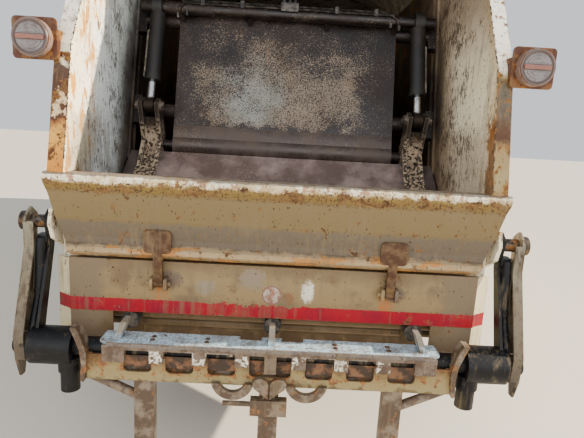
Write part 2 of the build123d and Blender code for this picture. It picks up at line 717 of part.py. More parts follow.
def cab_glass():
    """Rear wall windows."""
    return both(block((350, 850), (CAB_REAR + 15, CAB_REAR + 15 + GLASS), (WAIST + 200, WAIST + 600)))


def hinge_leaf(low, y):
    """A hinge knuckle round the door's axis with its leaf, on the right side."""
    leaf = block((CAB_HALF, DOOR_AXIS[0]), y, (low, low + 40))
    return leaf + tube((*DOOR_AXIS, low), (*DOOR_AXIS, low + 40), 11)


def door(side):
    """Door as thick as the cab wall, with its window cut; +1 is the right side."""
    x = (CAB_HALF - CAB_WALL, CAB_HALF)
    panel = side_plate(door_outline(0), x) - side_plate(window_outline(0), (x[0] - 1, x[1] + 1))
    panel += block((CAB_HALF, CAB_HALF + 25), (DOOR_REAR + 40, DOOR_REAR + 200), (WAIST - 150, WAIST - 110))
    for low in HINGE_LOWS:
        panel += hinge_leaf(low, (DOOR_FRONT - 40, DOOR_AXIS[1]))
        panel -= tube((*DOOR_AXIS, low - 1), (*DOOR_AXIS, low + 41), 5 + PIN_GAP)
    glass = side_plate(window_outline(1), (CAB_HALF - 24, CAB_HALF - 18))
    if side > 0:
        return panel, glass
    return mirror(panel, about=Plane.YZ), mirror(glass, about=Plane.YZ)


def mirrors():
    """A tall mirror on two bent arms, each side."""
    head = fillet(block((MIRROR_IN, MIRROR_IN + 180), (3880, 3935), (1950, 2450)).edges().filter_by(Axis.Y), 30)
    arms = Part()
    for z in (2020, 2400):
        arms += tube((CAB_HALF + 8, 3862, z), (MIRROR_IN + 10, 3890, z), 12)
        arms += block((CAB_HALF, CAB_HALF + 12), (3840, 3885), (z - 22, z + 22))
    return both(head + arms)


def seats():
    """Driver's seat on the left and a double bench on the right."""
    pieces = Part()
    for x in ((-1000, -520), (500, 1000)):
        base = block(x, (2500, 2980), (CAB_FLOOR + 20, 1450)) + block(x, (2480, 3000), (1450, 1570))
        back = side_plate([(2480, 1560), (2400, 2150), (2500, 2170), (2600, 1560)], x)
        pieces += base + back
    return pieces


def dashboard():
    """Dashboard across the cab with the steering wheel on its column."""
    inner = CAB_HALF - CAB_WALL
    dash = side_plate(
        [(CAB_FRONT - CAB_WALL, 1420), (3700, 1420), (3650, 1600), (3760, 1690), (CAB_FRONT - CAB_WALL, 1690)],
        (-inner + 8, inner - 8),
    )
    wheel_plane = Plane(origin=(-760, 3540, 1640), z_dir=(0, -0.5, 0.87))
    wheel = wheel_plane * Torus(210, 16)
    column = tube((-760, 3690, 1380), (-760, 3540, 1640), 30)
    spokes = wheel_plane * Box(410, 30, 14)
    spokes += wheel_plane * Box(30, 410, 14)
    return dash + wheel + column + spokes


# Tailgate

def wall_outline():
    """Side view outline of a tailgate wall."""
    roof, brk, lip = GATE_ROOF_END, GATE_BREAK, LIP
    rear = [(GATE_FRONT, BODY_TOP), roof, brk, lip]
    trough_end = turned(TROUGH_AXIS, TROUGH_END, TROUGH_R)
    slope = TROUGH_END - 270
    front_low = trough_end[1] + (GATE_FRONT - trough_end[0]) * sin(radians(slope)) / cos(radians(slope))
    return rear, trough_end, front_low


def gate_wall():
    """Right wall: a sheet with a box flange down its rear edge and ribs outside."""
    rear, trough_end, front_low = wall_outline()
    start = turned(TROUGH_AXIS, TROUGH_START, TROUGH_R + TROUGH_SHEET)
    low = turned(TROUGH_AXIS, 245, TROUGH_R + TROUGH_SHEET + 60)
    under = turned(TROUGH_AXIS, 280, TROUGH_R + TROUGH_SHEET + 40)
    outline = rear + [(WALL_BACK_Y, LIP[1]), (WALL_BACK_Y, WALL_LOW), low, under, (GATE_FRONT, front_low - 60)]
    sheet = side_plate(outline, (GATE_INNER, GATE_INNER + GATE_SHEET))
    x = (GATE_INNER, GATE_HALF)
    roof, brk, lip = GATE_ROOF_END, GATE_BREAK, LIP
    flange = folded([roof, brk, lip, (WALL_BACK_Y - 8, LIP[1])], 60, x)
    top_edge = folded([(GATE_FRONT, BODY_TOP), roof], 60, x)
    front_edge = block(x, (GATE_FRONT - 90, GATE_FRONT), (front_low - 60, BODY_TOP - 30))
    back_edge = block(x, (WALL_BACK_Y, WALL_BACK_Y + 70), (WALL_LOW, LIP[1]))
    ribs = Part()
    for z, reach in ((2050, -3790), (1500, -3740)):
        ribs += block((GATE_INNER, GATE_HALF - 5), (reach, GATE_FRONT), (z, z + 70))
    low_rib = folded([(GATE_FRONT, front_low - 60), under, low, (WALL_BACK_Y, WALL_LOW)], -50, x)
    middle = offset_line([CARRIAGE_LOW, CARRIAGE_HIGH], -CARRIAGE_THICK / 2)
    ends = [along(middle[0], middle[1], reach) for reach in TRACK_REACH]
    tracks = Part()
    for side in (-1, 1):
        line = offset_line(ends, side * (SHOE_HALF + RUN_GAP))
        tracks += folded(line, side * 25, (GATE_INNER - TRACK_THICK, GATE_INNER))
    return sheet + flange + top_edge + front_edge + back_edge + ribs + low_rib + tracks


def gate_roof():
    """Roof sheet of the tailgate, its hinge eyes and the upper rear crossmember."""
    half = GATE_INNER
    roof = folded([(GATE_FRONT, BODY_TOP), GATE_ROOF_END], 8, (-half, half))
    step = along(GATE_ROOF_END, GATE_BREAK, 80)
    roof += folded([GATE_ROOF_END, step], 8, (-half, half))
    hy, hz = LIFT_HINGE
    eye = side_plate(
        [(hy - 300, BODY_TOP - 20), (hy - 300, BODY_TOP + 10), (hy - 60, hz + 45), (hy + 35, hz + 45), (hy + 45, hz - 35),
         (hy - 12, hz - 38), (hy - 12, BODY_TOP - 20)],
        (548, 616),
    )
    eye -= cross_tube(LIFT_HINGE, (500, 700), 22 + PIN_GAP)
    beam = cross_tube((-2700, 3080), (-half, half), 60)
    return roof + both(eye) + beam


def hopper_trough():
    """Curved hopper bottom, from below the flap round to the body's floor."""
    inner_start = turned(TROUGH_AXIS, TROUGH_START, TROUGH_R)
    inner_mid = turned(TROUGH_AXIS, (TROUGH_START + TROUGH_END) / 2, TROUGH_R)
    inner_end = turned(TROUGH_AXIS, TROUGH_END, TROUGH_R)
    outer_start = turned(TROUGH_AXIS, TROUGH_START, TROUGH_R + TROUGH_SHEET)
    outer_mid = turned(TROUGH_AXIS, (TROUGH_START + TROUGH_END) / 2, TROUGH_R + TROUGH_SHEET)
    outer_end = turned(TROUGH_AXIS, TROUGH_END, TROUGH_R + TROUGH_SHEET)
    slope = radians(TROUGH_END - 270)
    rise = sin(slope) / cos(slope)
    run_in = (GATE_FRONT, inner_end[1] + (GATE_FRONT - inner_end[0]) * rise)
    run_out = (GATE_FRONT, outer_end[1] + (GATE_FRONT - outer_end[0]) * rise)
    x = -GATE_INNER

    def at(point):
        return (x, *point)

    face = make_face(
        ThreePointArc(at(inner_start), at(inner_mid), at(inner_end))
        + Line(at(inner_end), at(run_in))
        + Line(at(run_in), at(run_out))
        + Line(at(run_out), at(outer_end))
        + ThreePointArc(at(outer_end), at(outer_mid), at(outer_start))
        + Line(at(outer_start), at(inner_start))
    )
    return extrude(face, 2 * GATE_INNER, dir=(1, 0, 0))


def rear_panel():
    """Outer rear panel below the flap, its side plates, buffers and flap hinge forks."""
    half = GATE_HALF - PANEL_FACET
    back = PANEL_Y + 2
    top = turned(TROUGH_AXIS, TROUGH_START, TROUGH_R)
    panel = folded([(back, PANEL_LOW), (back, PANEL_TOP), (top[0] + 4, PANEL_TOP)], 8, (-half, half))
    outer = ARM_IN - ARM_GAP
    facet = [(half - 6, back), (half, back), (outer, WALL_BACK_Y - 8), (outer, WALL_BACK_Y),
             (outer - 16, WALL_BACK_Y), (half - 6, back + 8)]
    panel += both(plan_plate(facet, (PANEL_FOOT + 12, PANEL_TOP)))
    panel += both(block((800, half), (PANEL_Y, PANEL_Y + 10), (PANEL_FOOT, PANEL_LOW + 5)))
    panel += both(folded([(back, PANEL_FOOT), (PANEL_Y + 60, PANEL_FOOT - 40)], 8, (800, GATE_INNER)))
    panel += block((-GATE_INNER, GATE_INNER), (PANEL_Y + 8, PANEL_Y + 60), (PANEL_LOW, PANEL_LOW + 8))
    for x in (-STRAP_X, STRAP_X):
        for side in (-1, 1):
            fork = block(
                (x + side * 26, x + side * 42), (FLAP_HINGE[0] - 26, PANEL_Y + 3), (FLAP_HINGE[1] - 34, FLAP_HINGE[1] + 30)
            )
            panel += fillet(fork.edges().filter_by(Axis.X).sort_by(Axis.Y)[:2], 16)
        panel += cross_tube(FLAP_HINGE, (x - 58, x + 58), 12)
    tubes = Part()
    for y, z, r in ((-3730, 800, 30), (-3700, 740, 22)):
        tubes += cross_tube((y, z), (-GATE_INNER, GATE_INNER), r)
    panel += tubes
    for x in (-BUFFER_X, 0, BUFFER_X):
        panel += block((x - 40, x + 40), (-3760, -3740), (PANEL_FOOT, PANEL_LOW + 4))
    return panel


def buffers():
    """Three round rubber buffers that the clamp plate comes to rest on."""
    pads = Part()
    for x in (-BUFFER_X, 0, BUFFER_X):
        pads += tube((x, -3760, BUFFER_Z), (x, -3830, BUFFER_Z), BUFFER_R)
    return pads


def rear_lamps():
    """Round rear lamps on square plates at the tailgate's outer edges."""
    y = GATE_BREAK[0] - 30
    wide, tall = LAMP_PLATE
    plate = block((LAMP_X - wide, LAMP_X + wide), (y - 10, y), (LAMP_Z - tall, LAMP_Z + tall))
    lamp = fillet(plate.edges().filter_by(Axis.Y), 20)
    lamp += tube((LAMP_X, y - 10, LAMP_Z), (LAMP_X, y - 50, LAMP_Z), LAMP_R)
    low = along(GATE_BREAK, LIP, 80)
    high = along(GATE_BREAK, GATE_ROOF_END, 60)
    lamp += side_plate([(y, low[1]), low, GATE_BREAK, high, (y, high[1])], (LAMP_X - wide, GATE_HALF))
    return both(lamp)


def lifter_brackets():
    """Plates on the tailgate that carry the lifter's upper pivots."""
    y, z = LIFT_PIVOT
    plate = side_plate(
        [(y + 260, z + 120), (y - 40, z + 70), (y - 62, z), (y - 30, z - 75), (y + 260, z - 240)],
        (GATE_HALF, GATE_HALF + 20),
    )
    pin = cross_tube(LIFT_PIVOT, (GATE_HALF + 10, ARM_OUT + 14), 32)
    pin += cross_tube(LIFT_PIVOT, (ARM_OUT + 2, ARM_OUT + 34), 46)
    return both(plate + pin)


# Packing mechanism

def carriage():
    """Carriage plate with its hinge tube, side shoes and the cylinder brackets."""
    plate = folded([CARRIAGE_LOW, CARRIAGE_HIGH], -CARRIAGE_THICK, (-CARRIAGE_HALF, CARRIAGE_HALF))
    dy, dz, run = direction(CARRIAGE_LOW, CARRIAGE_HIGH)
    hinge = cross_tube(BLADE_HINGE, (-CARRIAGE_HALF, CARRIAGE_HALF), BLADE_HINGE_R)
    pins = both(cross_tube(BLADE_HINGE, (CARRIAGE_HALF - 5, CRANK_X + CRANK_GAP + CRANK_PLATE + 10), 30))
    web = folded([BLADE_HINGE, along(CARRIAGE_LOW, CARRIAGE_HIGH, 60)], -60, (-CARRIAGE_HALF, CARRIAGE_HALF))
    top = cross_tube(BLADE_CYL_TOP, (-BLADE_HALF + 25, BLADE_HALF - 25), 38)
    body = plate + hinge + pins + web + top
    y, z = BLADE_CYL_TOP
    for x in (20 - CARRIAGE_HALF, -250, 250, CARRIAGE_HALF - 20):
        body += side_plate(
            [(y, z - 38), (y - 30, z - 20), (y - 38, z + 10), (y - 10, z + 38), (y + 90, z + 50), (y + 60, z - 110)],
            (x - 15, x + 15),
        )
    middle = offset_line([CARRIAGE_LOW, CARRIAGE_HIGH], -CARRIAGE_THICK / 2)
    for reach in (180, run - 120):
        centre = along(middle[0], middle[1], reach)
        body += both(cross_tube(centre, (CARRIAGE_HALF - 5, BLADE_HALF - 35), 45))
        shoe = folded([along(middle[0], middle[1], reach - 90), along(middle[0], middle[1], reach + 90)], 2 * SHOE_HALF, (BLADE_HALF - 40, GATE_INNER - RUN_GAP))
        body += both(shoe.moved(Location((0, SHOE_HALF * dz, -SHOE_HALF * dy))))
    return body


def packer_blade():
    """Swinging blade with its hinge eyes, back ribs and the two crank lugs."""
    heading = 270 - BLADE_ANGLE
    root = turned(BLADE_HINGE, heading, 75)
    tip = turned(BLADE_HINGE, heading, BLADE_REACH)
    blade = folded([root, tip], 30, (-BLADE_HALF, BLADE_HALF))
    back = offset_line([root, tip], 30)
    blade += folded([along(back[0], back[1], 10), along(back[0], back[1], 90)], 60, (-BLADE_HALF, BLADE_HALF))
    edge = turned(BLADE_HINGE, heading, BLADE_REACH - 60)
    blade += folded([edge, tip], -15, (-BLADE_HALF, BLADE_HALF))
    for step in (-2, -1, 0, 1, 2):
        x = step * (BLADE_HALF - 85) / 2
        rib_far = along(back[0], back[1], BLADE_REACH - 140)
        rib_root = along(back[0], back[1], 80)
        high = offset_line([rib_root, rib_far], 60)[0]
        blade += side_plate([rib_root, rib_far, high], (x - 12, x + 12))
    for low, side in ((CRANK_X - CRANK_GAP - CRANK_PLATE, -1), (CRANK_X + CRANK_GAP, 1)):
        far = low + CRANK_PLATE
        lug = side_plate(
            [turned(CRANK_EYE, 60, 55), turned(CRANK_EYE, 160, 55), turned(BLADE_HINGE, 160, 75),
             along(root, tip, 150), turned(BLADE_HINGE, 330, 75), turned(BLADE_HINGE, 60, 75)],
            (low, far),
        )
        lug -= cross_tube(BLADE_HINGE, (low - 5, far + 5), 30 + PIN_GAP)
        outer_face = far if side > 0 else low
        lug += cross_tube(CRANK_EYE, (outer_face - side * 4, outer_face + side * 12), 34)
        blade += both(lug)
    return blade


def cylinder_pair(x, base, eye, radius, rod_radius, closed, pins):
    """A pair of barrels and a pair of rods; each rod's eye carries its pin, kept between two faces."""
    start = along(base, eye, 45)
    gland = along(base, eye, closed)
    barrel = tube((x, *start), (x, *gland), radius)
    barrel += tube((x, *along(base, eye, closed - 40)), (x, *gland), radius + 5)
    barrel += cross_tube(base, (x - 30, x + 30), pins[0] + 28)
    bore_start = along(base, eye, 95)
    barrel -= tube((x, *bore_start), (x, *along(base, eye, closed - 60)), radius - 8)
    barrel -= tube((x, *along(base, eye, closed - 80)), (x, *along(base, eye, closed + 5)), rod_radius + PIN_GAP)
    barrel -= cross_tube(base, (x - 31, x + 31), pins[0] + PIN_GAP)
    rod_start = along(base, eye, 150)
    rod = tube((x, *rod_start), (x, *along(eye, base, 35)), rod_radius)
    rod += tube((x, *rod_start), (x, *along(base, eye, 190)), radius - 8 - PIN_GAP)
    rod += cross_tube(eye, (x - 28, x + 28), pins[1] + 24)
    rod += cross_tube(eye, (x - CRANK_GAP + EYE_GAP, x + CRANK_GAP - EYE_GAP), pins[1])
    return both(barrel), both(rod)


def gate_eye_pads():
    """Pads on the tailgate's walls that the lifting cylinders' eyes bear on."""
    foot = cross_tube(GATE_CYL_EYE, (GATE_HALF - 5, GATE_HALF + 20), 110)
    return both(foot + cross_tube(GATE_CYL_EYE, (GATE_HALF, GATE_CYL_X - CRANK_GAP), 70))


# Loading flap

def loading_flap():
    """Folded box flap: a tall rim, raked apron and facet, a lower ridge, strap hinges."""
    outer = [
        (-3846, 1530), (-3924, 1530), (-3936, 1516), (-3936, 1480), (-3920, 1440), (-3910, 1320),
        (-3880, 1225), (-3880, 1195), (-3898, 1180), (-3898, FLAP_FOOT + 28), (-3862, FLAP_FOOT),
        (-3796, FLAP_FOOT), (-3796, 1440),
    ]
    half = ARM_IN - ARM_GAP
    flap = side_plate(outer, (-half, half))
    lean = degrees(atan2(FLAP_SHRINK, 1500 - FLAP_FOOT))
    for side in (-1, 1):
        cut = Pos(side * half, 0, 1500) * Rot(0, side * lean, 0) * Pos(side * 80, -3850, -250) * Box(160, 300, 620)
        flap -= cut
    inner = [
        (-3852, 1510), (-3918, 1510), (-3926, 1480), (-3910, 1440), (-3900, 1320), (-3870, 1225),
        (-3870, FLAP_FOOT + 16), (-3806, FLAP_FOOT + 16), (-3806, 1440),
    ]
    flap -= side_plate(inner, (FLAP_SHRINK + 35 - half, half - FLAP_SHRINK - 35))
    hy, hz = FLAP_HINGE
    strap = [(-3906, 1180), (-3890, 1180), (hy + 12, hz + 30), (hy + 16, hz - 6), (hy, hz - 20), (hy - 18, hz - 8),
             (hy - 24, hz + 30)]
    for x in (-STRAP_X, STRAP_X):
        plate = block((x - 65, x + 65), (-3906, -3880), (1165, 1275))
        flap += fillet(plate.edges().filter_by(Axis.Y), 20)
        flap += side_plate(strap, (x - 21, x + 21))
    flap -= cross_tube(FLAP_HINGE, (-STRAP_X - 25, STRAP_X + 25), 12 + PIN_GAP)
    return flap


# Bin lifter

def lift_arms():
    """Two channel arms hung from the upper pivots, with their hubs and the shaft that joins them."""
    y, z = LIFT_PIVOT
    sy, sz = SHAFT
    rear_edge = [(y - 68, z + 10), (y - 72, z - 120), (sy - 62, sz + 60), (sy - 52, sz - 60)]
    outer_plate = side_plate(
        [rear_edge[0], (y - 45, z + 42), (y, z + 70), (y + 55, z + 30), (y + 40, z - 120), (sy + 55, sz + 60),
         (sy + 40, sz - 70), (sy + 12, sz - 155), (sy - 20, sz - 155), rear_edge[-1], rear_edge[2], rear_edge[1]],
        (ARM_OUT - 12, ARM_OUT),
    )
    strip = folded(rear_edge, 10, (ARM_OUT - ARM_STRIP, ARM_OUT))
    inner_plate = side_plate(
        [(y - 45, z + 30), (y, z + 62), (y + 45, z + 30), (y + 30, z - 120), (sy + 45, sz + 60), (sy + 30, sz - 60),
         (sy - 35, sz - 60), (sy - 40, sz + 40), (y - 22, z - 120)],
        (ARM_IN, ARM_IN + 14),
    )
    web = folded([(y + 34, z - 80), (y + 24, z - 140), (sy + 36, sz + 50)], -12, (ARM_IN, ARM_OUT))
    arm = outer_plate + strip + inner_plate + web
    arm += cross_tube(SHAFT, (HUB_START, ARM_IN + 34), HUB_END) + cross_tube(SHAFT, (ARM_IN, ARM_OUT - 5), 52)
    stub_x = HUB_START + 25
    arm += tube((stub_x, sy - 15, sz - 214), (stub_x, sy - 15, sz - 45), 44)
    arm += tube((stub_x, sy - 15, sz - 115), (stub_x, sy - 15, sz - 45), 53)
    arm += cross_tube(SHAFT, (ARM_OUT, ARM_OUT + 18), 40)
    arm -= cross_tube(LIFT_PIVOT, (ARM_IN - 10, ARM_OUT + 10), 32 + PIN_GAP)
    shaft = cross_tube(SHAFT, (-HUB_START - 20, HUB_START + 20), SHAFT_R)
    return both(arm) + shaft


def arm_cylinders():
    """Tilting cylinders that lie inside the arms, behind their webs."""
    y, z = LIFT_PIVOT
    sy, sz = SHAFT
    x = ARM_IN + 14 + 26
    barrel = tube((x, y - 26, z - 76), (x, y - 62, z - 330), 28)
    rod = tube((x, y - 60, z - 320), (x, sy - 8, sz + 60), 18)
    cap = tube((x, y - 60, z - 315), (x, y - 63, z - 340), 32)
    root = block((ARM_IN + 5, x + 20), (y - 38, y + 30), (z - 95, z - 62))
    return both(barrel + rod + cap + root)


def tooth_places():
    """Comb tooth centres: three each side of the middle gap and the end blocks."""
    half_gap = TOOTH_MID_GAP / 2
    return [side * (half_gap + TOOTH_PITCH * i) for side in (-1, 1) for i in range(4)]


def comb_beam():
    """Comb plate with U cut-outs, its brackets on the shaft, struts and legs."""
    face_y = -4055
    half = COMB_HALF
    plate = block((-half, half), (face_y, face_y + 12), (COMB_LOW, COMB_TOP))
    teeth = sorted(tooth_places())
    for a, b in zip(teeth, teeth[1:]):
        gap = (b - a - TOOTH_W) / 2
        notch = block(((a + b) / 2 - gap, (a + b) / 2 + gap), (face_y - 5, face_y + 20), (NOTCH_LOW, COMB_TOP + 60))
        plate -= fillet(notch.edges().filter_by(Axis.Y).sort_by(Axis.Z)[:2], NOTCH_R)
    plate += block((-half, half), (face_y, face_y + COMB_DEEP), (COMB_LOW, COMB_LOW + 8))
    plate += block((-half, half), (face_y + COMB_DEEP - 8, face_y + COMB_DEEP), (COMB_LOW, COMB_TOP - 54))
    beam = plate
    for x in (10 - half, -300, 300, half - 10):
        beam += side_plate(
            [(face_y + 10, COMB_LOW), (face_y + 10, COMB_TOP - 7), (SHAFT[0], SHAFT[1] + 20), (SHAFT[0] + 10, SHAFT[1] - 30)],
            (x - 10, x + 10),
        )
    for x in (-LEG_X, LEG_X, 0):
        leg = block((x - 46, x + 46), (face_y + 12, face_y + 72), (LEG_LOW, COMB_LOW + 40))
        beam += leg - block((x - 38, x + 38), (face_y + 20, face_y + 80), (LEG_LOW - 1, COMB_LOW - 10))
    for side in (-1, 1):
        beam += tube((side * (half - 10), face_y + 30, COMB_LOW + 10), (side * (LEG_X + 20), face_y + 40, 485), 22)
    near = [(10, 577), (-5, 645), (-4, 722), (14, 787), (38, 842)]
    far = [(66, 840), (44, 785), (24, 730), (18, 663), (23, 586)]
    hook = rear_plate([(half + reach, z) for reach, z in near + far], (face_y - 18, face_y + 50))
    hook += block((half - 5, half + 30), (face_y, SHAFT[0]), (SHAFT[1] - 20, SHAFT[1] + 20))
    return beam + both(hook) + latch_cams(face_y) - cross_tube(SHAFT, (-HUB_START + 10, HUB_START - 10), SHAFT_R)


def latch_cams(face_y):
    """Centre latch below the comb: two cams, two curved arms, their block and a side rod."""
    block_half, cam_z, arm_x, arm_z = 86, 600, 172, 625
    cams = block((-block_half, block_half), (face_y - 30, face_y + 15), (450, 529))
    cams += block((-30, 30), (face_y - 12, face_y + 2), (500, COMB_LOW + 30))
    cam = rear_plate(
        [(4, cam_z - 62), (30, cam_z - 40), (72, cam_z - 8), (80, cam_z + 20), (66, cam_z + 38), (40, cam_z + 42),
         (14, cam_z + 32), (4, cam_z + 14)],
        (face_y - 34, face_y - 11),
    )
    arm = tube((arm_x, face_y - 26, arm_z), (arm_x, face_y + 2, arm_z), 100)
    arm -= tube((arm_x, face_y - 30, arm_z), (arm_x, face_y + 5, arm_z), 62)
    arm -= block((0, 400), (face_y - 40, face_y + 10), (COMB_LOW + 18, arm_z + 150))
    rod = tube((-216, face_y - 10, 500), (-block_half + 4, face_y - 10, 500), 12)
    return cams + both(cam + arm) + rod


def clamp_bar():
    """Clamp plate over the comb with its teeth, three fins and the centre latch."""
    rear, front = REAR_END + 8, REAR_END + 140
    top = plan_plate(
        [(-CLAMP_HALF, front), (-CLAMP_HALF, front - 100), (40 - CLAMP_HALF, rear), (CLAMP_HALF - 40, rear),
         (CLAMP_HALF, front - 100), (CLAMP_HALF, front)],
        (CLAMP_TOP - 14, CLAMP_TOP),
    )
    top += block((40 - CLAMP_HALF, CLAMP_HALF - 40), (REAR_END, rear + 6), (CLAMP_TOP - 30, CLAMP_TOP))
    top += block((-CLAMP_HALF, CLAMP_HALF), (front - 14, front), (CLAMP_TOP - 20, CLAMP_TOP))
    for side in (-1, 1):
        top -= block((side * 48, side * 152), (front - 36, front + 10), (CLAMP_TOP - 40, CLAMP_TOP + 10))
    teeth = Part()
    for x in tooth_places():
        width = TOOTH_W if abs(x) < 700 else TOOTH_W + 35
        teeth += block((x - width / 2, x + width / 2), (REAR_END, REAR_END + 28), (CLAMP_TOP - 10 - TOOTH_TALL, CLAMP_TOP - 10))
    fins = Part()
    for x in (-BUFFER_X, 0, BUFFER_X):
        lean = -36 if x > 0 else 36 if x < 0 else 0
        fins += rear_plate(
            [(x - 16, CLAMP_TOP - 5), (x + 16, CLAMP_TOP - 5), (x + 13 + lean, CLAMP_TOP + 86), (x - 13 + lean, CLAMP_TOP + 86)],
            (-4050, -3978),
        )
    latch = block((-28, 28), (REAR_END + 6, REAR_END + 40), (CLAMP_TOP - 120, CLAMP_TOP - 5))
    eyes = Part()
    y, z = SHAFT
    for x in (-500, -190, 190, 500):
        eyes += side_plate(
            [(y - 80, CLAMP_TOP - 10), (y + 22, CLAMP_TOP - 10), (y + 66, z + 20), (y + 50, z - 50), (y - 10, z - 68),
             (y - 38, z - 20)],
            (x - 14, x + 14),
        )
    eyes -= cross_tube(SHAFT, (-900, 900), SHAFT_R)
    return top + teeth + fins + latch + eyes


NODES = {
    "frame_rails": frame_rails(),
    "leaf_springs": leaf_springs(),
    "front_axle": front_axle(),
    "rear_axle": rear_axle(),
    "engine_block": engine_block(),
    "propeller_shaft": propeller_shaft(),
    "front_bumper": front_bumper(),
    "headlamps": headlamps(),
    "entry_steps": entry_steps(),
    "fuel_tank": fuel_tank(),
    "air_tanks": air_tanks(),
    "side_guards": side_guards(),
    "mudguards": front_mudguards() + rear_mudguards(),
    "exhaust": exhaust(),
    "body_floor": body_floor(),
    "body_sides": body_sides(),
    "body_roof": body_roof(),
    "body_front": body_front(),
    "body_rear_frame": body_rear_frame(),
    "ejector_plate": ejector_plate(),
    "cab_floor": cab_floor(),
    "cab_sides": cab_sides(),
    "cab_front": cab_front(),
    "cab_back": cab_back(),
    "cab_roof": cab_roof(),
    "cab_glass": windscreen() + cab_glass(),
    "grille": grille(),
    "mirrors": mirrors(),
    "seats": seats(),
    "dashboard": dashboard(),
    "gate_walls": both(gate_wall()) + lifter_brackets() + gate_eye_pads(),
    "gate_roof": gate_roof(),
    "hopper_trough": hopper_trough(),
    "rear_panel": rear_panel(),
    "buffers": buffers(),
    "rear_lamps": rear_lamps(),
    "carriage": carriage(),
    "packer_blade": packer_blade(),
    "loading_flap": loading_flap(),
    "lift_arms": lift_arms() + arm_cylinders(),
    "comb_beam": comb_beam(),
    "clamp_bar": clamp_bar(),
}

for side, name in ((1, "right"), (-1, "left")):
    NODES["door_" + name], NODES["door_glass_" + name] = door(side)

right_pieces = {"knuckle": knuckle()}
right_pieces["tyre_front"], right_pieces["rim_front"] = front_wheel()
right_pieces["tyres_rear"], right_pieces["rims_rear"] = rear_wheels()
for name, shape in right_pieces.items():
    NODES[name + "_right"] = shape
    NODES[name + "_left"] = mirror(shape, about=Plane.YZ)

NODES["blade_barrels"], NODES["blade_rods"] = cylinder_pair(
    CRANK_X, BLADE_CYL_TOP, CRANK_EYE, 48, 25, 500, (38, 22)
)
NODES["gate_barrels"], NODES["gate_rods"] = cylinder_pair(
    GATE_CYL_X, GATE_CYL_BASE, GATE_CYL_EYE, GATE_CYL_R, 22, 1310, (22, 22)
)

os.makedirs("parts", exist_ok=True)
for name, shape in NODES.items():
    export_step(shape, "parts/" + name + ".step")
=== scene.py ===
from math import cos, pi, radians, sin

import bmesh
import bpy
from mathutils import Euler, Matrix, Vector


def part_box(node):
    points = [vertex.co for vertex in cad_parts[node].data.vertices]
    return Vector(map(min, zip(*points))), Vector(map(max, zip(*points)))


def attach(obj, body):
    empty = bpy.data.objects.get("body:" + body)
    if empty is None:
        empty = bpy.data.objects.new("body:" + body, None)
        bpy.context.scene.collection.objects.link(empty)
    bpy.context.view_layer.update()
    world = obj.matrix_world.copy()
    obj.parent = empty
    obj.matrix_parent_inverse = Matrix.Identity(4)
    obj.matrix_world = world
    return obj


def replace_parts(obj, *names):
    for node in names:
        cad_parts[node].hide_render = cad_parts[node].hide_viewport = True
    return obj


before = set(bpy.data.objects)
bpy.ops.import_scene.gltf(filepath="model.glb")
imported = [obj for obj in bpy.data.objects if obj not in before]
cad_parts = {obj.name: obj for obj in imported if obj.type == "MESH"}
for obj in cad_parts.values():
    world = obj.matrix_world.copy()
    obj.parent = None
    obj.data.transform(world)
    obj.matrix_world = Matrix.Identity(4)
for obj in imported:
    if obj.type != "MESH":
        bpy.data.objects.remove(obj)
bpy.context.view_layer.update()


# The photographer's view: standing behind the loading edge at head height, looking
# forward and a little down, the camera held slightly tilted.
VIEW_FROM = Vector((0.010, -6.236, 1.827))
VIEW_YAW = radians(1.36)
VIEW_PITCH = radians(-11.17)
VIEW_ROLL = radians(3.31)
FOCAL_PX = 505.6
FRAME_W_PX = 584
SENSOR_MM = 36

ahead = Vector((sin(VIEW_YAW) * cos(VIEW_PITCH), cos(VIEW_YAW) * cos(VIEW_PITCH), sin(VIEW_PITCH)))
level_right = Vector((cos(VIEW_YAW), -sin(VIEW_YAW), 0))
level_up = level_right.cross(ahead)
right = level_right * cos(VIEW_ROLL) + level_up * sin(VIEW_ROLL)
up = -level_right * sin(VIEW_ROLL) + level_up * cos(VIEW_ROLL)
camera = bpy.data.objects.new("camera", bpy.data.cameras.new("camera"))
camera.data.sensor_width = SENSOR_MM
camera.data.lens = SENSOR_MM * FOCAL_PX / FRAME_W_PX
camera.data.clip_end = 200
camera.matrix_world = Matrix((
    (right.x, up.x, -ahead.x, VIEW_FROM.x),
    (right.y, up.y, -ahead.y, VIEW_FROM.y),
    (right.z, up.z, -ahead.z, VIEW_FROM.z),
    (0, 0, 0, 1),
))
bpy.context.scene.collection.objects.link(camera)
bpy.context.scene.camera = camera


# Studio: a pale matt floor under a soft white sky. The sun stands low on the right, so
# that it strikes the left wall's inside and leaves the rear faces in open shade; a wide
# softbox behind the camera reaches into the hopper.
FLOOR_HALF = 30


def linear(hex_colour):
    """An sRGB hex colour as the linear colour that the shaders take."""
    channels = [int(hex_colour[i:i + 2], 16) / 255 for i in (1, 3, 5)]
    return tuple(c / 12.92 if c <= 0.04045 else ((c + 0.055) / 1.055) ** 2.4 for c in channels) + (1.0,)


def node(tree, kind, inputs, out=0, **settings):
    """Adds a shader node with its settings, fills or links its inputs, and gives one output."""
    made = tree.nodes.new("ShaderNode" + kind)
    for name, value in settings.items():
        setattr(made, name, value)
    for name, value in inputs.items():
        if isinstance(value, bpy.types.NodeSocket):
            tree.links.new(value, made.inputs[name])
        else:
            made.inputs[name].default_value = value
    return made.outputs[out]


def blank_finish(name, roughness, metallic=0.0):
    """A new finish: the material, its node tree, its shader and where each point lies, in metres."""
    finish = bpy.data.materials.new(name)
    finish.use_nodes = True
    tree = finish.node_tree
    shader = tree.nodes["Principled BSDF"]
    shader.inputs["Roughness"].default_value = roughness
    shader.inputs["Metallic"].default_value = metallic
    return finish, tree, shader, node(tree, "TexCoord", {}, "Object")


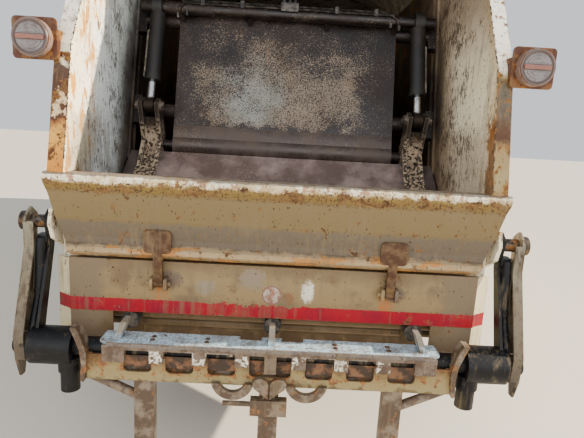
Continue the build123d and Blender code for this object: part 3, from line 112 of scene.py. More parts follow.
floor_mesh = bpy.data.meshes.new("studio_floor")
floor_corners = [(x * FLOOR_HALF, y * FLOOR_HALF, 0) for x, y in ((-1, -1), (1, -1), (1, 1), (-1, 1))]
floor_mesh.from_pydata(floor_corners, [], [(0, 1, 2, 3)])
floor = bpy.data.objects.new("studio_floor", floor_mesh)
bpy.context.scene.collection.objects.link(floor)
pale_floor, _, shader, _ = blank_finish("pale studio floor", 0.85)
shader.inputs["Base Color"].default_value = linear("#cfc8ba")
floor_mesh.materials.append(pale_floor)

sky = bpy.data.worlds.new("soft sky")
sky.use_nodes = True
sky.node_tree.nodes["Background"].inputs["Color"].default_value = linear("#eef3fa")
sky.node_tree.nodes["Background"].inputs["Strength"].default_value = 1.0
bpy.context.scene.world = sky

sun_light = bpy.data.lights.new("sun", "SUN")
sun_light.energy = 13.0
sun_light.angle = radians(0.8)
sun_light.color = linear("#fff1dc")[:3]
sun = bpy.data.objects.new("sun", sun_light)
sun.rotation_euler = Vector((-1, -0.10, -0.45)).to_track_quat("-Z", "Y").to_euler()
bpy.context.scene.collection.objects.link(sun)

soft_light = bpy.data.lights.new("softbox", "AREA")
soft_light.shape = "RECTANGLE"
soft_light.size, soft_light.size_y = 14.0, 3.5
soft_light.energy = 450
softbox = bpy.data.objects.new("softbox", soft_light)
softbox.location = (0, -8.6, 3.0)
softbox.rotation_euler = Vector((0, 5.4, -1.2)).to_track_quat("-Z", "Y").to_euler()
softbox.visible_camera = False
bpy.context.scene.collection.objects.link(softbox)


# Chassis: pressed channel rails, springs, axles, engine and tanks, brushed with thick
# black chassis enamel. Road dust has dried on it in pale brown clouds, and rust shows
# in freckles 5 to 20 mm across where stones have struck.
def soft_step(tree, value, low, high):
    """0 below low, 1 above high, and a smooth rise between."""
    return node(tree, "MapRange", {"Value": value, "From Min": low, "From Max": high},
                interpolation_type="SMOOTHSTEP")


def overlap(tree, *shares):
    """Where several shares hold at once: their product, so that a number among them weakens the rest."""
    product = shares[0]
    for share in shares[1:]:
        product = node(tree, "Math", {0: product, 1: share}, operation="MULTIPLY")
    return product


def mottle(tree, at, size, detail=6.0, rough=0.6, stretch=(1, 1, 1)):
    """Cloudy noise with patches of a real size in metres, longer along an axis where stretched."""
    scaled = node(tree, "Mapping", {"Vector": at, "Scale": [1 / (size * s) for s in stretch]})
    return node(tree, "TexNoise", {"Vector": scaled, "Scale": 1.0, "Detail": detail, "Roughness": rough})


def blended(tree, share, under, over):
    """One colour laid over another by a share; each is a hex value or a socket."""
    colours = [linear(c) if isinstance(c, str) else c for c in (under, over)]
    return node(tree, "MixRGB", {"Fac": share, "Color1": colours[0], "Color2": colours[1]})


def rubbed_edges(tree, radius):
    """Rises from 0 to 1 towards outer and inner edges, within a radius in metres."""
    rounded = node(tree, "Bevel", {"Radius": radius}, samples=4)
    flat = node(tree, "NewGeometry", {}, "Normal")
    along = node(tree, "VectorMath", {0: rounded, 1: flat}, "Value", operation="DOT_PRODUCT")
    return node(tree, "MapRange", {"Value": along, "From Min": 0.995, "From Max": 0.85})


def bumped(tree, shader, height, deep):
    """Relief of a real depth in metres."""
    relief = node(tree, "Bump", {"Height": height, "Distance": deep, "Strength": 1.0})
    tree.links.new(relief, shader.inputs["Normal"])


def dusty_enamel(name, paint, dust, dusted, freckles):
    """Enamel under road dust: `dusted` and `freckles` are the shares of dust and rust, 0 to 1."""
    finish, tree, shader, at = blank_finish(name, 0.55)
    clouds = mottle(tree, at, 0.25)
    coat = blended(tree, soft_step(tree, clouds, 0.62 - 0.3 * dusted, 0.75 - 0.2 * dusted), paint, dust)
    chips = soft_step(tree, mottle(tree, at, 0.02, 4.0), 0.70 - 0.12 * freckles, 0.72 - 0.12 * freckles)
    worn = blended(tree, chips, coat, "#5a3016")
    tree.links.new(worn, shader.inputs["Base Color"])
    bumped(tree, shader, mottle(tree, at, 0.004, 3.0), 0.0006)
    return finish


def dress(finish, *nodes):
    """Gives CAD nodes their finish."""
    for name in nodes:
        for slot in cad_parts[name].material_slots:
            slot.material = finish


chassis_black = dusty_enamel("brushed chassis enamel", "#1a1a1b", "#6e6250", 0.55, 0.6)
dress(chassis_black, "frame_rails", "leaf_springs", "front_axle", "rear_axle", "engine_block",
      "propeller_shaft", "fuel_tank", "air_tanks", "side_guards", "knuckle_left", "knuckle_right")

# Steps, mudguards, grille, mirror heads and dashboard: black polyethylene, moulded with a
# fine grain; it greys in the sun and holds dried splashes.
moulded_black = dusty_enamel("moulded polyethylene", "#202124", "#7d7161", 0.5, 0.0)
dress(moulded_black, "entry_steps", "mudguards", "cab_floor", "grille", "mirrors", "dashboard")


# Silencer and pipe: aluminised steel, rolled and welded, browned by heat, with rust in
# broad soft patches.
def patchy_finish(name, roughness, metallic, colours, size, edge, detail=6.0, relief=None, sockets=None):
    """A finish of two colours: patches of the second lie on the first. `size` is theirs in metres, and
    `edge` gives the levels of the noise between which they fade in. `relief` is the grain's size and depth
    in metres, and `sockets` are further settings of the shader."""
    finish, tree, shader, at = blank_finish(name, roughness, metallic)
    patches = soft_step(tree, mottle(tree, at, size, detail), *edge)
    tree.links.new(blended(tree, patches, *colours), shader.inputs["Base Color"])
    if relief:
        bumped(tree, shader, mottle(tree, at, relief[0]), relief[1])
    for socket, value in (sockets or {}).items():
        shader.inputs[socket].default_value = value
    return finish


browned_steel = patchy_finish("heat browned steel", 0.62, 0.6, ("#8a8078", "#6a3c20"), 0.12, (0.42, 0.62),
                              relief=(0.006, 0.0005))
dress(browned_steel, "exhaust")


# Tyres: vulcanised black rubber, dusty grey on the walls. The tread is cut in blocks
# 37 mm long and 35 mm wide, five across, that stand 12 mm high on the crown.
TYRE_R = 0.525
TYRE_HALF = 0.14
BEAD_R = 0.286
GROOVE_DEEP = 0.012
GROOVE_WIDE = 0.007
BLOCK_SHARE = 0.80
TREAD_ROWS = 5
TREAD_PITCHES = 72
TREAD_HALF = 0.106
# a block's eight corners, by foot or top, then start or stop, then the lower or the higher x
BLOCK_FACES = ((0, 1, 3, 2), (4, 6, 7, 5), (0, 2, 6, 4), (1, 5, 7, 3), (0, 4, 5, 1), (2, 3, 7, 6))


def turned(shape, profile, centre, axis, steps):
    """Adds a turned form to a bmesh; the profile's points are (radius, place along the axis)."""
    swing = Vector(axis).to_track_quat("Z", "Y").to_matrix()
    rings = []
    for radius, reach in profile:
        count = 1 if radius == 0 else steps
        ring = []
        for i in range(count):
            angle = 2 * pi * i / steps
            point = swing @ Vector((radius * cos(angle), radius * sin(angle), reach))
            ring.append(shape.verts.new(Vector(centre) + point))
        rings.append(ring)
    for low, high in zip(rings, rings[1:]):
        for i in range(steps):
            corners = [low[i % len(low)], low[(i + 1) % len(low)]]
            corners += [high[(i + 1) % len(high)], high[i % len(high)]]
            corners = [c for n, c in enumerate(corners) if c not in corners[:n]]
            if len(corners) > 2:
                shape.faces.new(corners)


def slab(shape, low, high, turn=None):
    """Adds a box to a bmesh between two corners, turned about its middle where asked."""
    middle = (Vector(low) + Vector(high)) / 2
    size = Vector(high) - Vector(low)
    place = Matrix.Translation(middle)
    if turn:
        place = place @ turn.to_matrix().to_4x4()
    bmesh.ops.create_cube(shape, size=1, matrix=place @ Matrix.Diagonal((*size, 1)))


def piece(name, body, finish, shape, smooth=30):
    """Makes a piece of a bmesh: it has one finish, and it moves with a body."""
    bmesh.ops.recalc_face_normals(shape, faces=shape.faces)
    mesh = bpy.data.meshes.new(name)
    shape.to_mesh(mesh)
    shape.free()
    mesh.materials.append(finish)
    made = bpy.data.objects.new(name, mesh)
    bpy.context.scene.collection.objects.link(made)
    if smooth:
        mesh.shade_smooth()
        mesh.set_sharp_from_angle(angle=radians(smooth))
    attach(made, body)
    return made


tyre_rubber = patchy_finish("vulcanised rubber", 0.82, 0.0, ("#1c1c1c", "#57504a"), 0.09, (0.42, 0.68),
                            relief=(0.003, 0.0004))

# a rounded wall with a bead, a shoulder and raised rings: (radius, share of half the width)
TYRE_WALL = (
    (BEAD_R, 0.78), (0.300, 0.84), (0.330, 0.88), (0.345, 0.915), (0.352, 0.90), (0.400, 0.97), (0.430, 0.99),
    (0.436, 1.0), (0.442, 0.985), (0.470, 0.95), (0.498, 0.87), (0.511, 0.78),
)


def tyre(shape, centre, half):
    """One tyre with its tread blocks, about an axle along X."""
    crown = TYRE_R - GROOVE_DEEP
    wall = [(r, w * half) for r, w in TYRE_WALL]
    profile = [(r, -w) for r, w in wall] + [(crown, -TREAD_HALF), (crown, TREAD_HALF)] + wall[::-1]
    profile += [(BEAD_R, -TYRE_WALL[0][1] * half)]
    turned(shape, profile, centre, (1, 0, 0), 72)
    row = 2 * TREAD_HALF / TREAD_ROWS
    for k in range(TREAD_ROWS):
        x_low = -TREAD_HALF + row * k + GROOVE_WIDE / 2
        x_high = x_low + row - GROOVE_WIDE
        for i in range(TREAD_PITCHES):
            start = 2 * pi * (i + 0.5 * (k % 2)) / TREAD_PITCHES
            stop = start + 2 * pi / TREAD_PITCHES * BLOCK_SHARE
            corners = []
            # each block's foot is sunk 4 mm in the crown
            for radius in (crown - 0.004, TYRE_R):
                for angle in (start, stop):
                    for x in (x_low, x_high):
                        corner = Vector(centre) + Vector((x, radius * cos(angle), radius * sin(angle)))
                        corners.append(shape.verts.new(corner))
            for face in BLOCK_FACES:
                shape.faces.new([corners[n] for n in face])


TYRES = (("tyre_front_left", "wheel_fl"), ("tyre_front_right", "wheel_fr"), ("tyres_rear_left", "wheels_rl"),
         ("tyres_rear_right", "wheels_rr"))
for tyre_node, wheel_body in TYRES:
    low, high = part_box(tyre_node)
    axle = (low + high) / 2
    shape = bmesh.new()
    places = {round(low.x + TYRE_HALF, 4), round(high.x - TYRE_HALF, 4)}
    for x in sorted(places):
        tyre(shape, (x, axle.y, axle.z), TYRE_HALF)
    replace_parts(piece(tyre_node + "_tread", wheel_body, tyre_rubber, shape), tyre_node)


# Rims: pressed steel discs welded in rolled rims, sprayed grey and gritty with brake
# dust. Ten hexagon nuts on studs hold each disc, and a turned cap closes each hub.
NUTS = 10
NUT_CIRCLE = 0.143
NUT_R = 0.018
# the nuts bear this far from the vehicle's middle, in front and at the rear
FRONT_SEAT_X = 1.048
REAR_SEAT_X = 1.028
# the nut and the stud's end: (radius, height over its seat)
NUT_PROFILE = [(0, 0), (NUT_R, 0), (NUT_R, 0.020), (NUT_R * 0.85, 0.024), (0.011, 0.024), (0.011, 0.034),
               (0.009, 0.037), (0, 0.037)]
RIMS = (("rim_front_left", "wheel_fl", -1), ("rim_front_right", "wheel_fr", 1),
        ("rims_rear_left", "wheels_rl", -1), ("rims_rear_right", "wheels_rr", 1))
rim_paint = dusty_enamel("sprayed rim enamel", "#8d8a84", "#5c5044", 0.6, 0.8)
zinc_steel = patchy_finish("zinc plated steel", 0.45, 0.85, ("#9b978f", "#5d3b22"), 0.02, (0.5, 0.62))
for rim_node, wheel_body, outside in RIMS:
    dress(rim_paint, rim_node)
    low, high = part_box(rim_node)
    axle = (low + high) / 2
    seat = FRONT_SEAT_X if "front" in rim_node else REAR_SEAT_X
    shape = bmesh.new()
    for i in range(NUTS):
        angle = 2 * pi * i / NUTS
        nut = (outside * seat, axle.y + NUT_CIRCLE * cos(angle), axle.z + NUT_CIRCLE * sin(angle))
        turned(shape, NUT_PROFILE, nut, (outside, 0, 0), 6)
    piece(rim_node + "_nuts", wheel_body, zinc_steel, shape)


# Load body and cab: sheet steel, sprayed with cream alkyd enamel that has chalked and
# taken up dust. Water draws the grime down in streaks, stones and knocks flake the
# paint off in ragged patches, and rust stains the cream ochre round each of them.
def flaking_enamel(name, paint, grime="#6f6048", rust="#5b3018", ochre="#97682f", bare=0.3, pits=0.4,
                   streaks=0.5, rubbed=0.5, patch=0.12, gloss=0.5, more=None):
    """Enamel rusting through. `bare`, `pits`, `streaks` and `rubbed` are shares from 0 to 1, and `patch` is
    the size of a bare patch in metres. `paint` is a hex value or a function that lays out the colour, and
    `more` is one that adds rust where the steel has suffered most."""
    finish, tree, shader, at = blank_finish(name, gloss)
    shader.inputs["Specular IOR Level"].default_value = 0.25
    coat = paint(tree, at) if callable(paint) else linear(paint)
    # grime: clouds 350 mm across, and runs 22 mm wide and 440 mm long
    clouds = mottle(tree, at, 0.35)
    runs = mottle(tree, at, 0.022, 4.0, stretch=(1, 1, 20))
    stain = node(tree, "Math", {0: clouds, 1: runs}, operation="ADD")
    stained = node(tree, "MapRange", {"Value": stain, "From Min": 1.12 - 0.35 * streaks,
                                      "From Max": 1.42 - 0.30 * streaks, "To Max": 0.85})
    coat = blended(tree, stained, coat, grime)
    # bare patches with ragged edges, more of them along rubbed edges
    ragged = mottle(tree, at, patch, 10.0, 0.66)
    worn_edge = overlap(tree, rubbed_edges(tree, 0.012), 0.16 * rubbed)
    ragged = node(tree, "Math", {0: ragged, 1: worn_edge}, operation="ADD")
    if more:
        ragged = node(tree, "Math", {0: ragged, 1: more(tree, at)}, operation="ADD")
    edge = 0.66 - 0.32 * bare
    halo = soft_step(tree, ragged, edge - 0.07, edge)
    coat = blended(tree, overlap(tree, halo, 0.55), coat, ochre)
    flaked = soft_step(tree, ragged, edge - 0.006, edge + 0.006)
    deep = soft_step(tree, mottle(tree, at, 0.035, 8.0, 0.7), 0.38, 0.62)
    coat = blended(tree, flaked, coat, blended(tree, deep, ochre, rust))
    # pits: rust spots 4 to 12 mm across
    spots = mottle(tree, at, 0.011, 2.0, stretch=(1, 1, 2.0))
    pitted = soft_step(tree, spots, 0.72 - 0.14 * pits, 0.75 - 0.14 * pits)
    coat = blended(tree, pitted, coat, rust)
    tree.links.new(coat, shader.inputs["Base Color"])
    rough = node(tree, "MapRange", {"Value": flaked, "To Min": gloss, "To Max": 0.88})
    tree.links.new(rough, shader.inputs["Roughness"])
    loss = node(tree, "Math", {0: flaked, 1: pitted}, operation="MAXIMUM")
    grain = node(tree, "Math", {0: mottle(tree, at, 0.008, 6.0), 1: loss}, operation="SUBTRACT")
    bumped(tree, shader, grain, 0.0012)
    return finish


def from_middle(tree, at):
    """How far a point lies from the vehicle's middle plane, in metres."""
    return node(tree, "Math", {0: node(tree, "SeparateXYZ", {0: at}, "X")}, operation="ABSOLUTE")


# the load space ends at its walls' inner faces and behind the front wall
BODY_INNER = 1.074
BODY_INNER_FRONT = 2.01


def body_paint(tree, at):
    """Cream outside; the load has scoured the inside down to brown steel."""
    between_walls = soft_step(tree, from_middle(tree, at), BODY_INNER + 0.0005, BODY_INNER - 0.0005)
    y = node(tree, "SeparateXYZ", {0: at}, "Y")
    behind_front = soft_step(tree, y, BODY_INNER_FRONT + 0.01, BODY_INNER_FRONT - 0.01)
    inside = overlap(tree, between_walls, behind_front)
    scoured = blended(tree, soft_step(tree, mottle(tree, at, 0.30), 0.40, 0.62), "#2c231c", "#4e3c2e")
    return blended(tree, inside, "#e6dcc2", scoured)


body_enamel = flaking_enamel("chalked cream enamel", body_paint, bare=0.16, pits=0.15, streaks=0.55,
                             rubbed=0.6)
dress(body_enamel, "body_sides", "body_front", "body_rear_frame")
roof_enamel = flaking_enamel("dusty roof enamel", "#d9cfb6", bare=0.22, pits=0.3, streaks=0.8, rubbed=0.6)
dress(roof_enamel, "body_roof")
cab_enamel = flaking_enamel("polished cream enamel", "#eae3cf", bare=0.07, pits=0.05, streaks=0.35,
                            rubbed=0.4, gloss=0.35)
dress(cab_enamel, "cab_sides", "cab_front", "cab_back", "cab_roof", "door_left", "door_right", "front_bumper")

# Load floor and ejector plate: mild steel scoured bare by the load, brown with rust and
# polished grey in long scratches.
scoured_steel, tree, shader, at = blank_finish("scoured mild steel", 0.5, 0.7)
scratched = mottle(tree, at, 0.012, 6.0, stretch=(1, 30, 1))
rusted = soft_step(tree, mottle(tree, at, 0.25), 0.40, 0.62)
worn = blended(tree, soft_step(tree, scratched, 0.42, 0.66), "#4a3626", "#85786a")
tree.links.new(blended(tree, rusted, worn, "#55341f"), shader.inputs["Base Color"])
bumped(tree, shader, scratched, 0.0006)
dress(scoured_steel, "body_floor", "ejector_plate")


# Glass: tempered sheet, faintly green, held in the openings of the cab and the doors; a
# film of dust lies on it in clouds 200 mm across.
window_glass = patchy_finish("tempered glass", 0.04, 0.0, ("#dfe9e4", "#c9c2ae"), 0.2, (0.40, 0.75),
                             sockets={"Transmission Weight": 0.92, "IOR": 1.45})
dress(window_glass, "cab_glass", "door_glass_left", "door_glass_right")


# Window seals: extruded rubber beads pressed round the windscreen and the rear windows,
# standing about 10 mm proud of the panel.
SCREEN_SEAL = 0.011
REAR_SEAL = 0.009
# the screen's edges on the front panel's outer face, (y, z): low at the waist, high under the roof
SCREEN_HALF = 1.040
SCREEN_LOW = (4.0413, 1.810)
SCREEN_HIGH = (3.9073, 2.730)
# one rear window's corners on the back panel, (x, z); the other mirrors it
REAR_WINDOW = ((0.35, 1.95), (0.85, 1.95), (0.85, 2.35), (0.35, 2.35))
CAB_BACK_Y = 2.350


def bead(shape, corners, radius, closed=True, steps=8):
    """Adds a round bead along a line of points to a bmesh, mitred at its corners."""
    count = len(corners)
    rings = []
    for i, corner in enumerate(corners):
        before = corners[i - 1] if closed or i else None
        after = corners[(i + 1) % count] if closed or i < count - 1 else None
        runs = [(corner - before).normalized() if before is not None else None,
                (after - corner).normalized() if after is not None else None]
        runs = [run for run in runs if run is not None]
        forward = sum(runs, Vector()).normalized()
        side = forward.orthogonal().normalized()
        if abs(forward.dot(Vector((0, 0, 1)))) < 0.99:
            side = forward.cross(Vector((0, 0, 1))).normalized()
        rise = side.cross(forward)
        stretch = 1 / max(forward.dot(runs[0]), 0.5)
        bend = (runs[-1] - runs[0]).normalized() if (runs[-1] - runs[0]).length > 0.01 else side
        ring = []
        for k in range(steps):
            angle = 2 * pi * k / steps
            arm = side * radius * cos(angle) + rise * radius * sin(angle)
            arm += bend * arm.dot(bend) * (stretch - 1)
            ring.append(shape.verts.new(corner + arm))
        rings.append(ring)
    pairs = list(zip(rings, rings[1:])) + ([(rings[-1], rings[0])] if closed else [])
    for low, high in pairs:
        for k in range(steps):
            shape.faces.new([low[k], low[(k + 1) % steps], high[(k + 1) % steps], high[k]])
    if not closed:
        shape.faces.new(rings[0][::-1])
        shape.faces.new(rings[-1])


seal_rubber = patchy_finish("extruded seal rubber", 0.7, 0.0, ("#161616", "#4e483f"), 0.05, (0.4, 0.7),
                            relief=(0.003, 0.0003))
shape = bmesh.new()
screen_corners = ((-1, SCREEN_LOW), (1, SCREEN_LOW), (1, SCREEN_HIGH), (-1, SCREEN_HIGH))
bead(shape, [Vector((side * SCREEN_HALF, *edge)) for side, edge in screen_corners], SCREEN_SEAL)
for side in (-1, 1):
    bead(shape, [Vector((side * x, CAB_BACK_Y, z)) for x, z in REAR_WINDOW], REAR_SEAL)
piece("cab_window_seals", "cab", seal_rubber, shape)


# Wipers: two spring arms of black painted steel, each on a spindle below the screen,
# with a rubber blade that lies on the glass.
WIPER_FEET_X = (-0.55, 0.40)
SPINDLE_Y = 4.046
SPINDLE_Z = 1.74
ARM_R = 0.006
WIPER_R = 0.005


def on_screen(x, share, proud):
    """A point on the raked screen: its share of the way up, and how far it stands off."""
    run = Vector((0, SCREEN_HIGH[0] - SCREEN_LOW[0], SCREEN_HIGH[1] - SCREEN_LOW[1]))
    off = Vector((0, run.z, -run.y)).normalized()
    return Vector((x, *SCREEN_LOW)) + run * share + off * proud


shape = bmesh.new()
for foot in WIPER_FEET_X:
    spindle = [(0, 0), (0.020, 0), (0.020, 0.022), (0.012, 0.030), (0, 0.030)]
    turned(shape, spindle, (foot, SPINDLE_Y, SPINDLE_Z), (0, 1, 0), 16)
    arm = [Vector((foot, SPINDLE_Y + 0.020, SPINDLE_Z)), on_screen(foot + 0.05, 0.06, 0.022),
           on_screen(foot + 0.30, 0.12, 0.014)]
    bead(shape, arm, ARM_R, closed=False)
    blade = [on_screen(foot - 0.02, 0.09, 0.005), on_screen(foot + 0.30, 0.12, 0.008),
             on_screen(foot + 0.60, 0.14, 0.005)]
    bead(shape, blade, WIPER_R, closed=False)
piece("wipers", "cab", moulded_black, shape)


# Door handles and grab rails: a lever of brushed chrome on a plate on each door, and
# behind the door a bent black rail, screwed to the cab at both ends.
DOOR_X = 1.150
HANDLE_Y = 3.10
HANDLE_Z = 1.56
RAIL_Y = 2.86
RAIL_R = 0.012
satin_chrome = patchy_finish("brushed chrome", 0.28, 1.0, ("#c4c4c2", "#8a857c"), 0.03, (0.5, 0.7))
for side, door_name, door_body in ((-1, "left", "door_l"), (1, "right", "door_r")):
    shape = bmesh.new()
    slab(shape, (side * DOOR_X - 0.004, HANDLE_Y - 0.07, HANDLE_Z - 0.04),
         (side * DOOR_X + 0.004, HANDLE_Y + 0.07, HANDLE_Z + 0.04))
    lever = [(0.002, -0.055), (0.022, -0.045), (0.022, 0.045), (0.002, 0.055)]
    bead(shape, [Vector((side * (DOOR_X + off), HANDLE_Y + run, HANDLE_Z)) for off, run in lever], 0.007,
         closed=False)
    piece("door_handle_" + door_name, door_body, satin_chrome, shape)
shape = bmesh.new()
for side in (-1, 1):
    rail = [(-0.002, 1.35), (0.045, 1.37), (0.045, 2.03), (-0.002, 2.05)]
    bead(shape, [Vector((side * (DOOR_X + off), RAIL_Y, z)) for off, z in rail], RAIL_R, closed=False)
piece("grab_rails", "cab", moulded_black, shape)


# Mirrors: a silvered glass sheet 4 mm thick, pressed into each moulded head and facing
# back along the vehicle.
MIRROR_X = 1.320
MIRROR_HALF = 0.076
mirror_silver = patchy_finish("silvered glass", 0.03, 1.0, ("#e3e6e6", "#a8a69e"), 0.1, (0.5, 0.8))
shape = bmesh.new()
for side in (-1, 1):
    slab(shape, (side * MIRROR_X - MIRROR_HALF, 3.8765, 1.965),
         (side * MIRROR_X + MIRROR_HALF, 3.8805, 2.435))
piece("mirror_glass", "cab", mirror_silver, shape)


# Headlamps: two bowls of bright reflector in each moulded housing, recessed behind the
# bumper's openings, each under a clear polycarbonate cover that is pressed on its rim.
BOWLS_X = (0.835, 0.985)
BOWL_Y = 4.090
BOWL_Z = 0.63
BOWL_PROFILE = [(0, 0.0005), (0.030, 0.0008), (0.050, 0.003), (0.060, 0.0075), (0.062, 0.0075), (0.062, 0),
                (0, 0)]
COVER_PROFILE = [(0, 0.0078), (0.060, 0.0078), (0.062, 0.0088), (0, 0.0096)]
clear_cover = patchy_finish("clear polycarbonate", 0.08, 0.0, ("#f4f4ee", "#cfc6ae"), 0.06, (0.45, 0.8),
                            sockets={"Transmission Weight": 0.85, "IOR": 1.58})
bright_bowl = patchy_finish("vacuum metallised bowl", 0.12, 1.0, ("#e8e8e4", "#b7b2a6"), 0.02, (0.45, 0.8))
dress(moulded_black, "headlamps")
bowls = bmesh.new()
covers = bmesh.new()
for side in (-1, 1):
    for x in BOWLS_X:
        turned(bowls, BOWL_PROFILE, (side * x, BOWL_Y, BOWL_Z), (0, 1, 0), 32)
        turned(covers, COVER_PROFILE, (side * x, BOWL_Y, BOWL_Z), (0, 1, 0), 32)
piece("headlamp_bowls", "chassis", bright_bowl, bowls)
piece("headlamp_covers", "chassis", clear_cover, covers)


# Seats: foam on steel pans under dark woven cloth, crowned in the middle, pulled in at
# the corners and sewn in three channels.
woven_cloth, tree, shader, at = blank_finish("woven seat cloth", 0.95)
# threads 3 mm apart, drawn three times as coarse as real ones so that they show
THREAD = 0.009
warp = node(tree, "TexWave", {"Vector": at, "Scale": pi / 10 / THREAD, "Distortion": 0.6}, 1,
            bands_direction="X")
weft = node(tree, "TexWave", {"Vector": at, "Scale": pi / 10 / THREAD, "Distortion": 0.6}, 1,
            bands_direction="Y")
weave = overlap(tree, warp, weft)
cloth = blended(tree, weave, "#1b1d22", "#33363e")
tree.links.new(blended(tree, soft_step(tree, mottle(tree, at, 0.15), 0.5, 0.75), cloth, "#4d463b"),
               shader.inputs["Base Color"])
shader.inputs["Sheen Weight"].default_value = 0.3
bumped(tree, shader, weave, 0.0008)


def cushion(name, low, high, lean=0.0):
    """A crowned cushion that fills a box; lean tips its top back, in metres."""
    shape = bmesh.new()
    bmesh.ops.create_cube(shape, size=2)
    bmesh.ops.subdivide_edges(shape, edges=shape.edges, cuts=11, use_grid_fill=True)
    low, high = Vector(low), Vector(high)
    middle, half = (low + high) / 2, (high - low) / 2
    for vertex in shape.verts:
        p = vertex.co.copy()
        drawn_in = [(p[(i + 1) % 3] ** 4 + p[(i + 2) % 3] ** 4) / 2 for i in range(3)]
        soft = Vector([p[i] * (1 - 0.10 * drawn_in[i]) for i in range(3)])
        # two sewn grooves part the faces into three channels
        thin = min(range(3), key=lambda i: half[i])
        if abs(p[thin]) > 0.999:
            groove = max(0.0, 1 - min(abs(p.x - seam) for seam in (-0.4, 0.4)) / 0.1)
            soft[thin] *= 1 - 0.10 * groove
        share = (p.z + 1) / 2
        vertex.co = middle + soft * half - Vector((0, lean * share, 0))
    made = piece(name, "cab", woven_cloth, shape, smooth=60)
    made.modifiers.new("rounding", "SUBSURF").levels = 1
    made.modifiers["rounding"].render_levels = 1
    return made


# each seat's name, with its sides' x
SEATS = (("driver", -1.0, -0.52), ("crew", 0.5, 1.0))
SEAT_REAR_Y = 2.56
SEAT_Z = 1.42
seat_bases = bmesh.new()
for seat_name, x_low, x_high in SEATS:
    cushion(seat_name + "_seat_cushion", (x_low, SEAT_REAR_Y, SEAT_Z), (x_high, 3.0, SEAT_Z + 0.15))
    cushion(seat_name + "_seat_back", (x_low, SEAT_REAR_Y - 0.06, SEAT_Z + 0.14),
            (x_high, SEAT_REAR_Y + 0.04, SEAT_Z + 0.74), lean=0.09)
    slab(seat_bases, (x_low + 0.06, SEAT_REAR_Y, SEAT_Z - 0.27), (x_high - 0.06, SEAT_REAR_Y + 0.36, SEAT_Z))
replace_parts(piece("seat_pans", "cab", moulded_black, seat_bases), "seats")


# Tailgate walls: folded sheet with box flanges, cream enamel outside and scoured by
# rubbish inside. The flanges behind rust in zones: pale and flaking above the break,
# brown at it, ochre with black pits down to the flap. Deep inside, the inner faces darken
# to black; nearer the edge they carry painted shade and painted bounce light.
GATE_INNER = 0.985
# the rear edge bends at this height, and leans forward above it and below it by these rates
BREAK_Z = 2.11
BREAK_Y = -3.8
UPPER_LEAN = 0.611
LOWER_LEAN = 0.224
# the lifter's pivots stand outboard of this x and below this height
PIVOT_X = 1.082
PIVOT_TOP = 1.6


def wandering(tree, at, value, size, reach):
    """A value, or an axis by its letter, that noise shifts by up to a reach: borders drawn from it wander."""
    if isinstance(value, str):
        value = node(tree, "SeparateXYZ", {0: at}, value)
    cloud = mottle(tree, at, size, 8.0, 0.65)
    shift = node(tree, "MapRange", {"Value": cloud, "From Min": 0.3, "From Max": 0.7, "To Min": -reach,
                                    "To Max": reach})
    return node(tree, "Math", {0: value, 1: shift}, operation="ADD")


def between(tree, value, low, high, soft=0.003):
    """1 where a value lies between two others, 0 outside."""
    rise = soft_step(tree, value, low - soft, low + soft)
    fall = soft_step(tree, value, high - soft, high + soft)
    return node(tree, "Math", {0: rise, 1: fall}, operation="SUBTRACT")


def zones(tree, value, stops):
    """A colour that changes along a value; the stops are (value, hex colour)."""
    low, high = stops[0][0], stops[-1][0]
    ramp = tree.nodes.new("ShaderNodeValToRGB")
    share = node(tree, "MapRange", {"Value": value, "From Min": low, "From Max": high})
    tree.links.new(share, ramp.inputs[0])
    while len(ramp.color_ramp.elements) < len(stops):
        ramp.color_ramp.elements.new(0.5)
    for element, (place, colour) in zip(ramp.color_ramp.elements, stops):
        element.position = (place - low) / (high - low)
        element.color = linear(colour)
    return ramp.outputs[0]


def from_rear_edge(tree, at):
    """How far a point of the wall lies in front of its bent rear edge."""
    above = node(tree, "Math", {0: node(tree, "SeparateXYZ", {0: at}, "Z"), 1: BREAK_Z}, operation="SUBTRACT")
    upper = node(tree, "Math", {0: above, 1: 0.0}, operation="MAXIMUM")
    lower = node(tree, "Math", {0: above, 1: 0.0}, operation="MINIMUM")
    upper = overlap(tree, upper, UPPER_LEAN)
    lower = overlap(tree, lower, LOWER_LEAN)
    edge = node(tree, "Math", {0: upper, 1: lower}, operation="ADD")
    deep = node(tree, "Math", {0: node(tree, "SeparateXYZ", {0: at}, "Y"), 1: BREAK_Y}, operation="SUBTRACT")
    return node(tree, "Math", {0: deep, 1: edge}, operation="SUBTRACT")


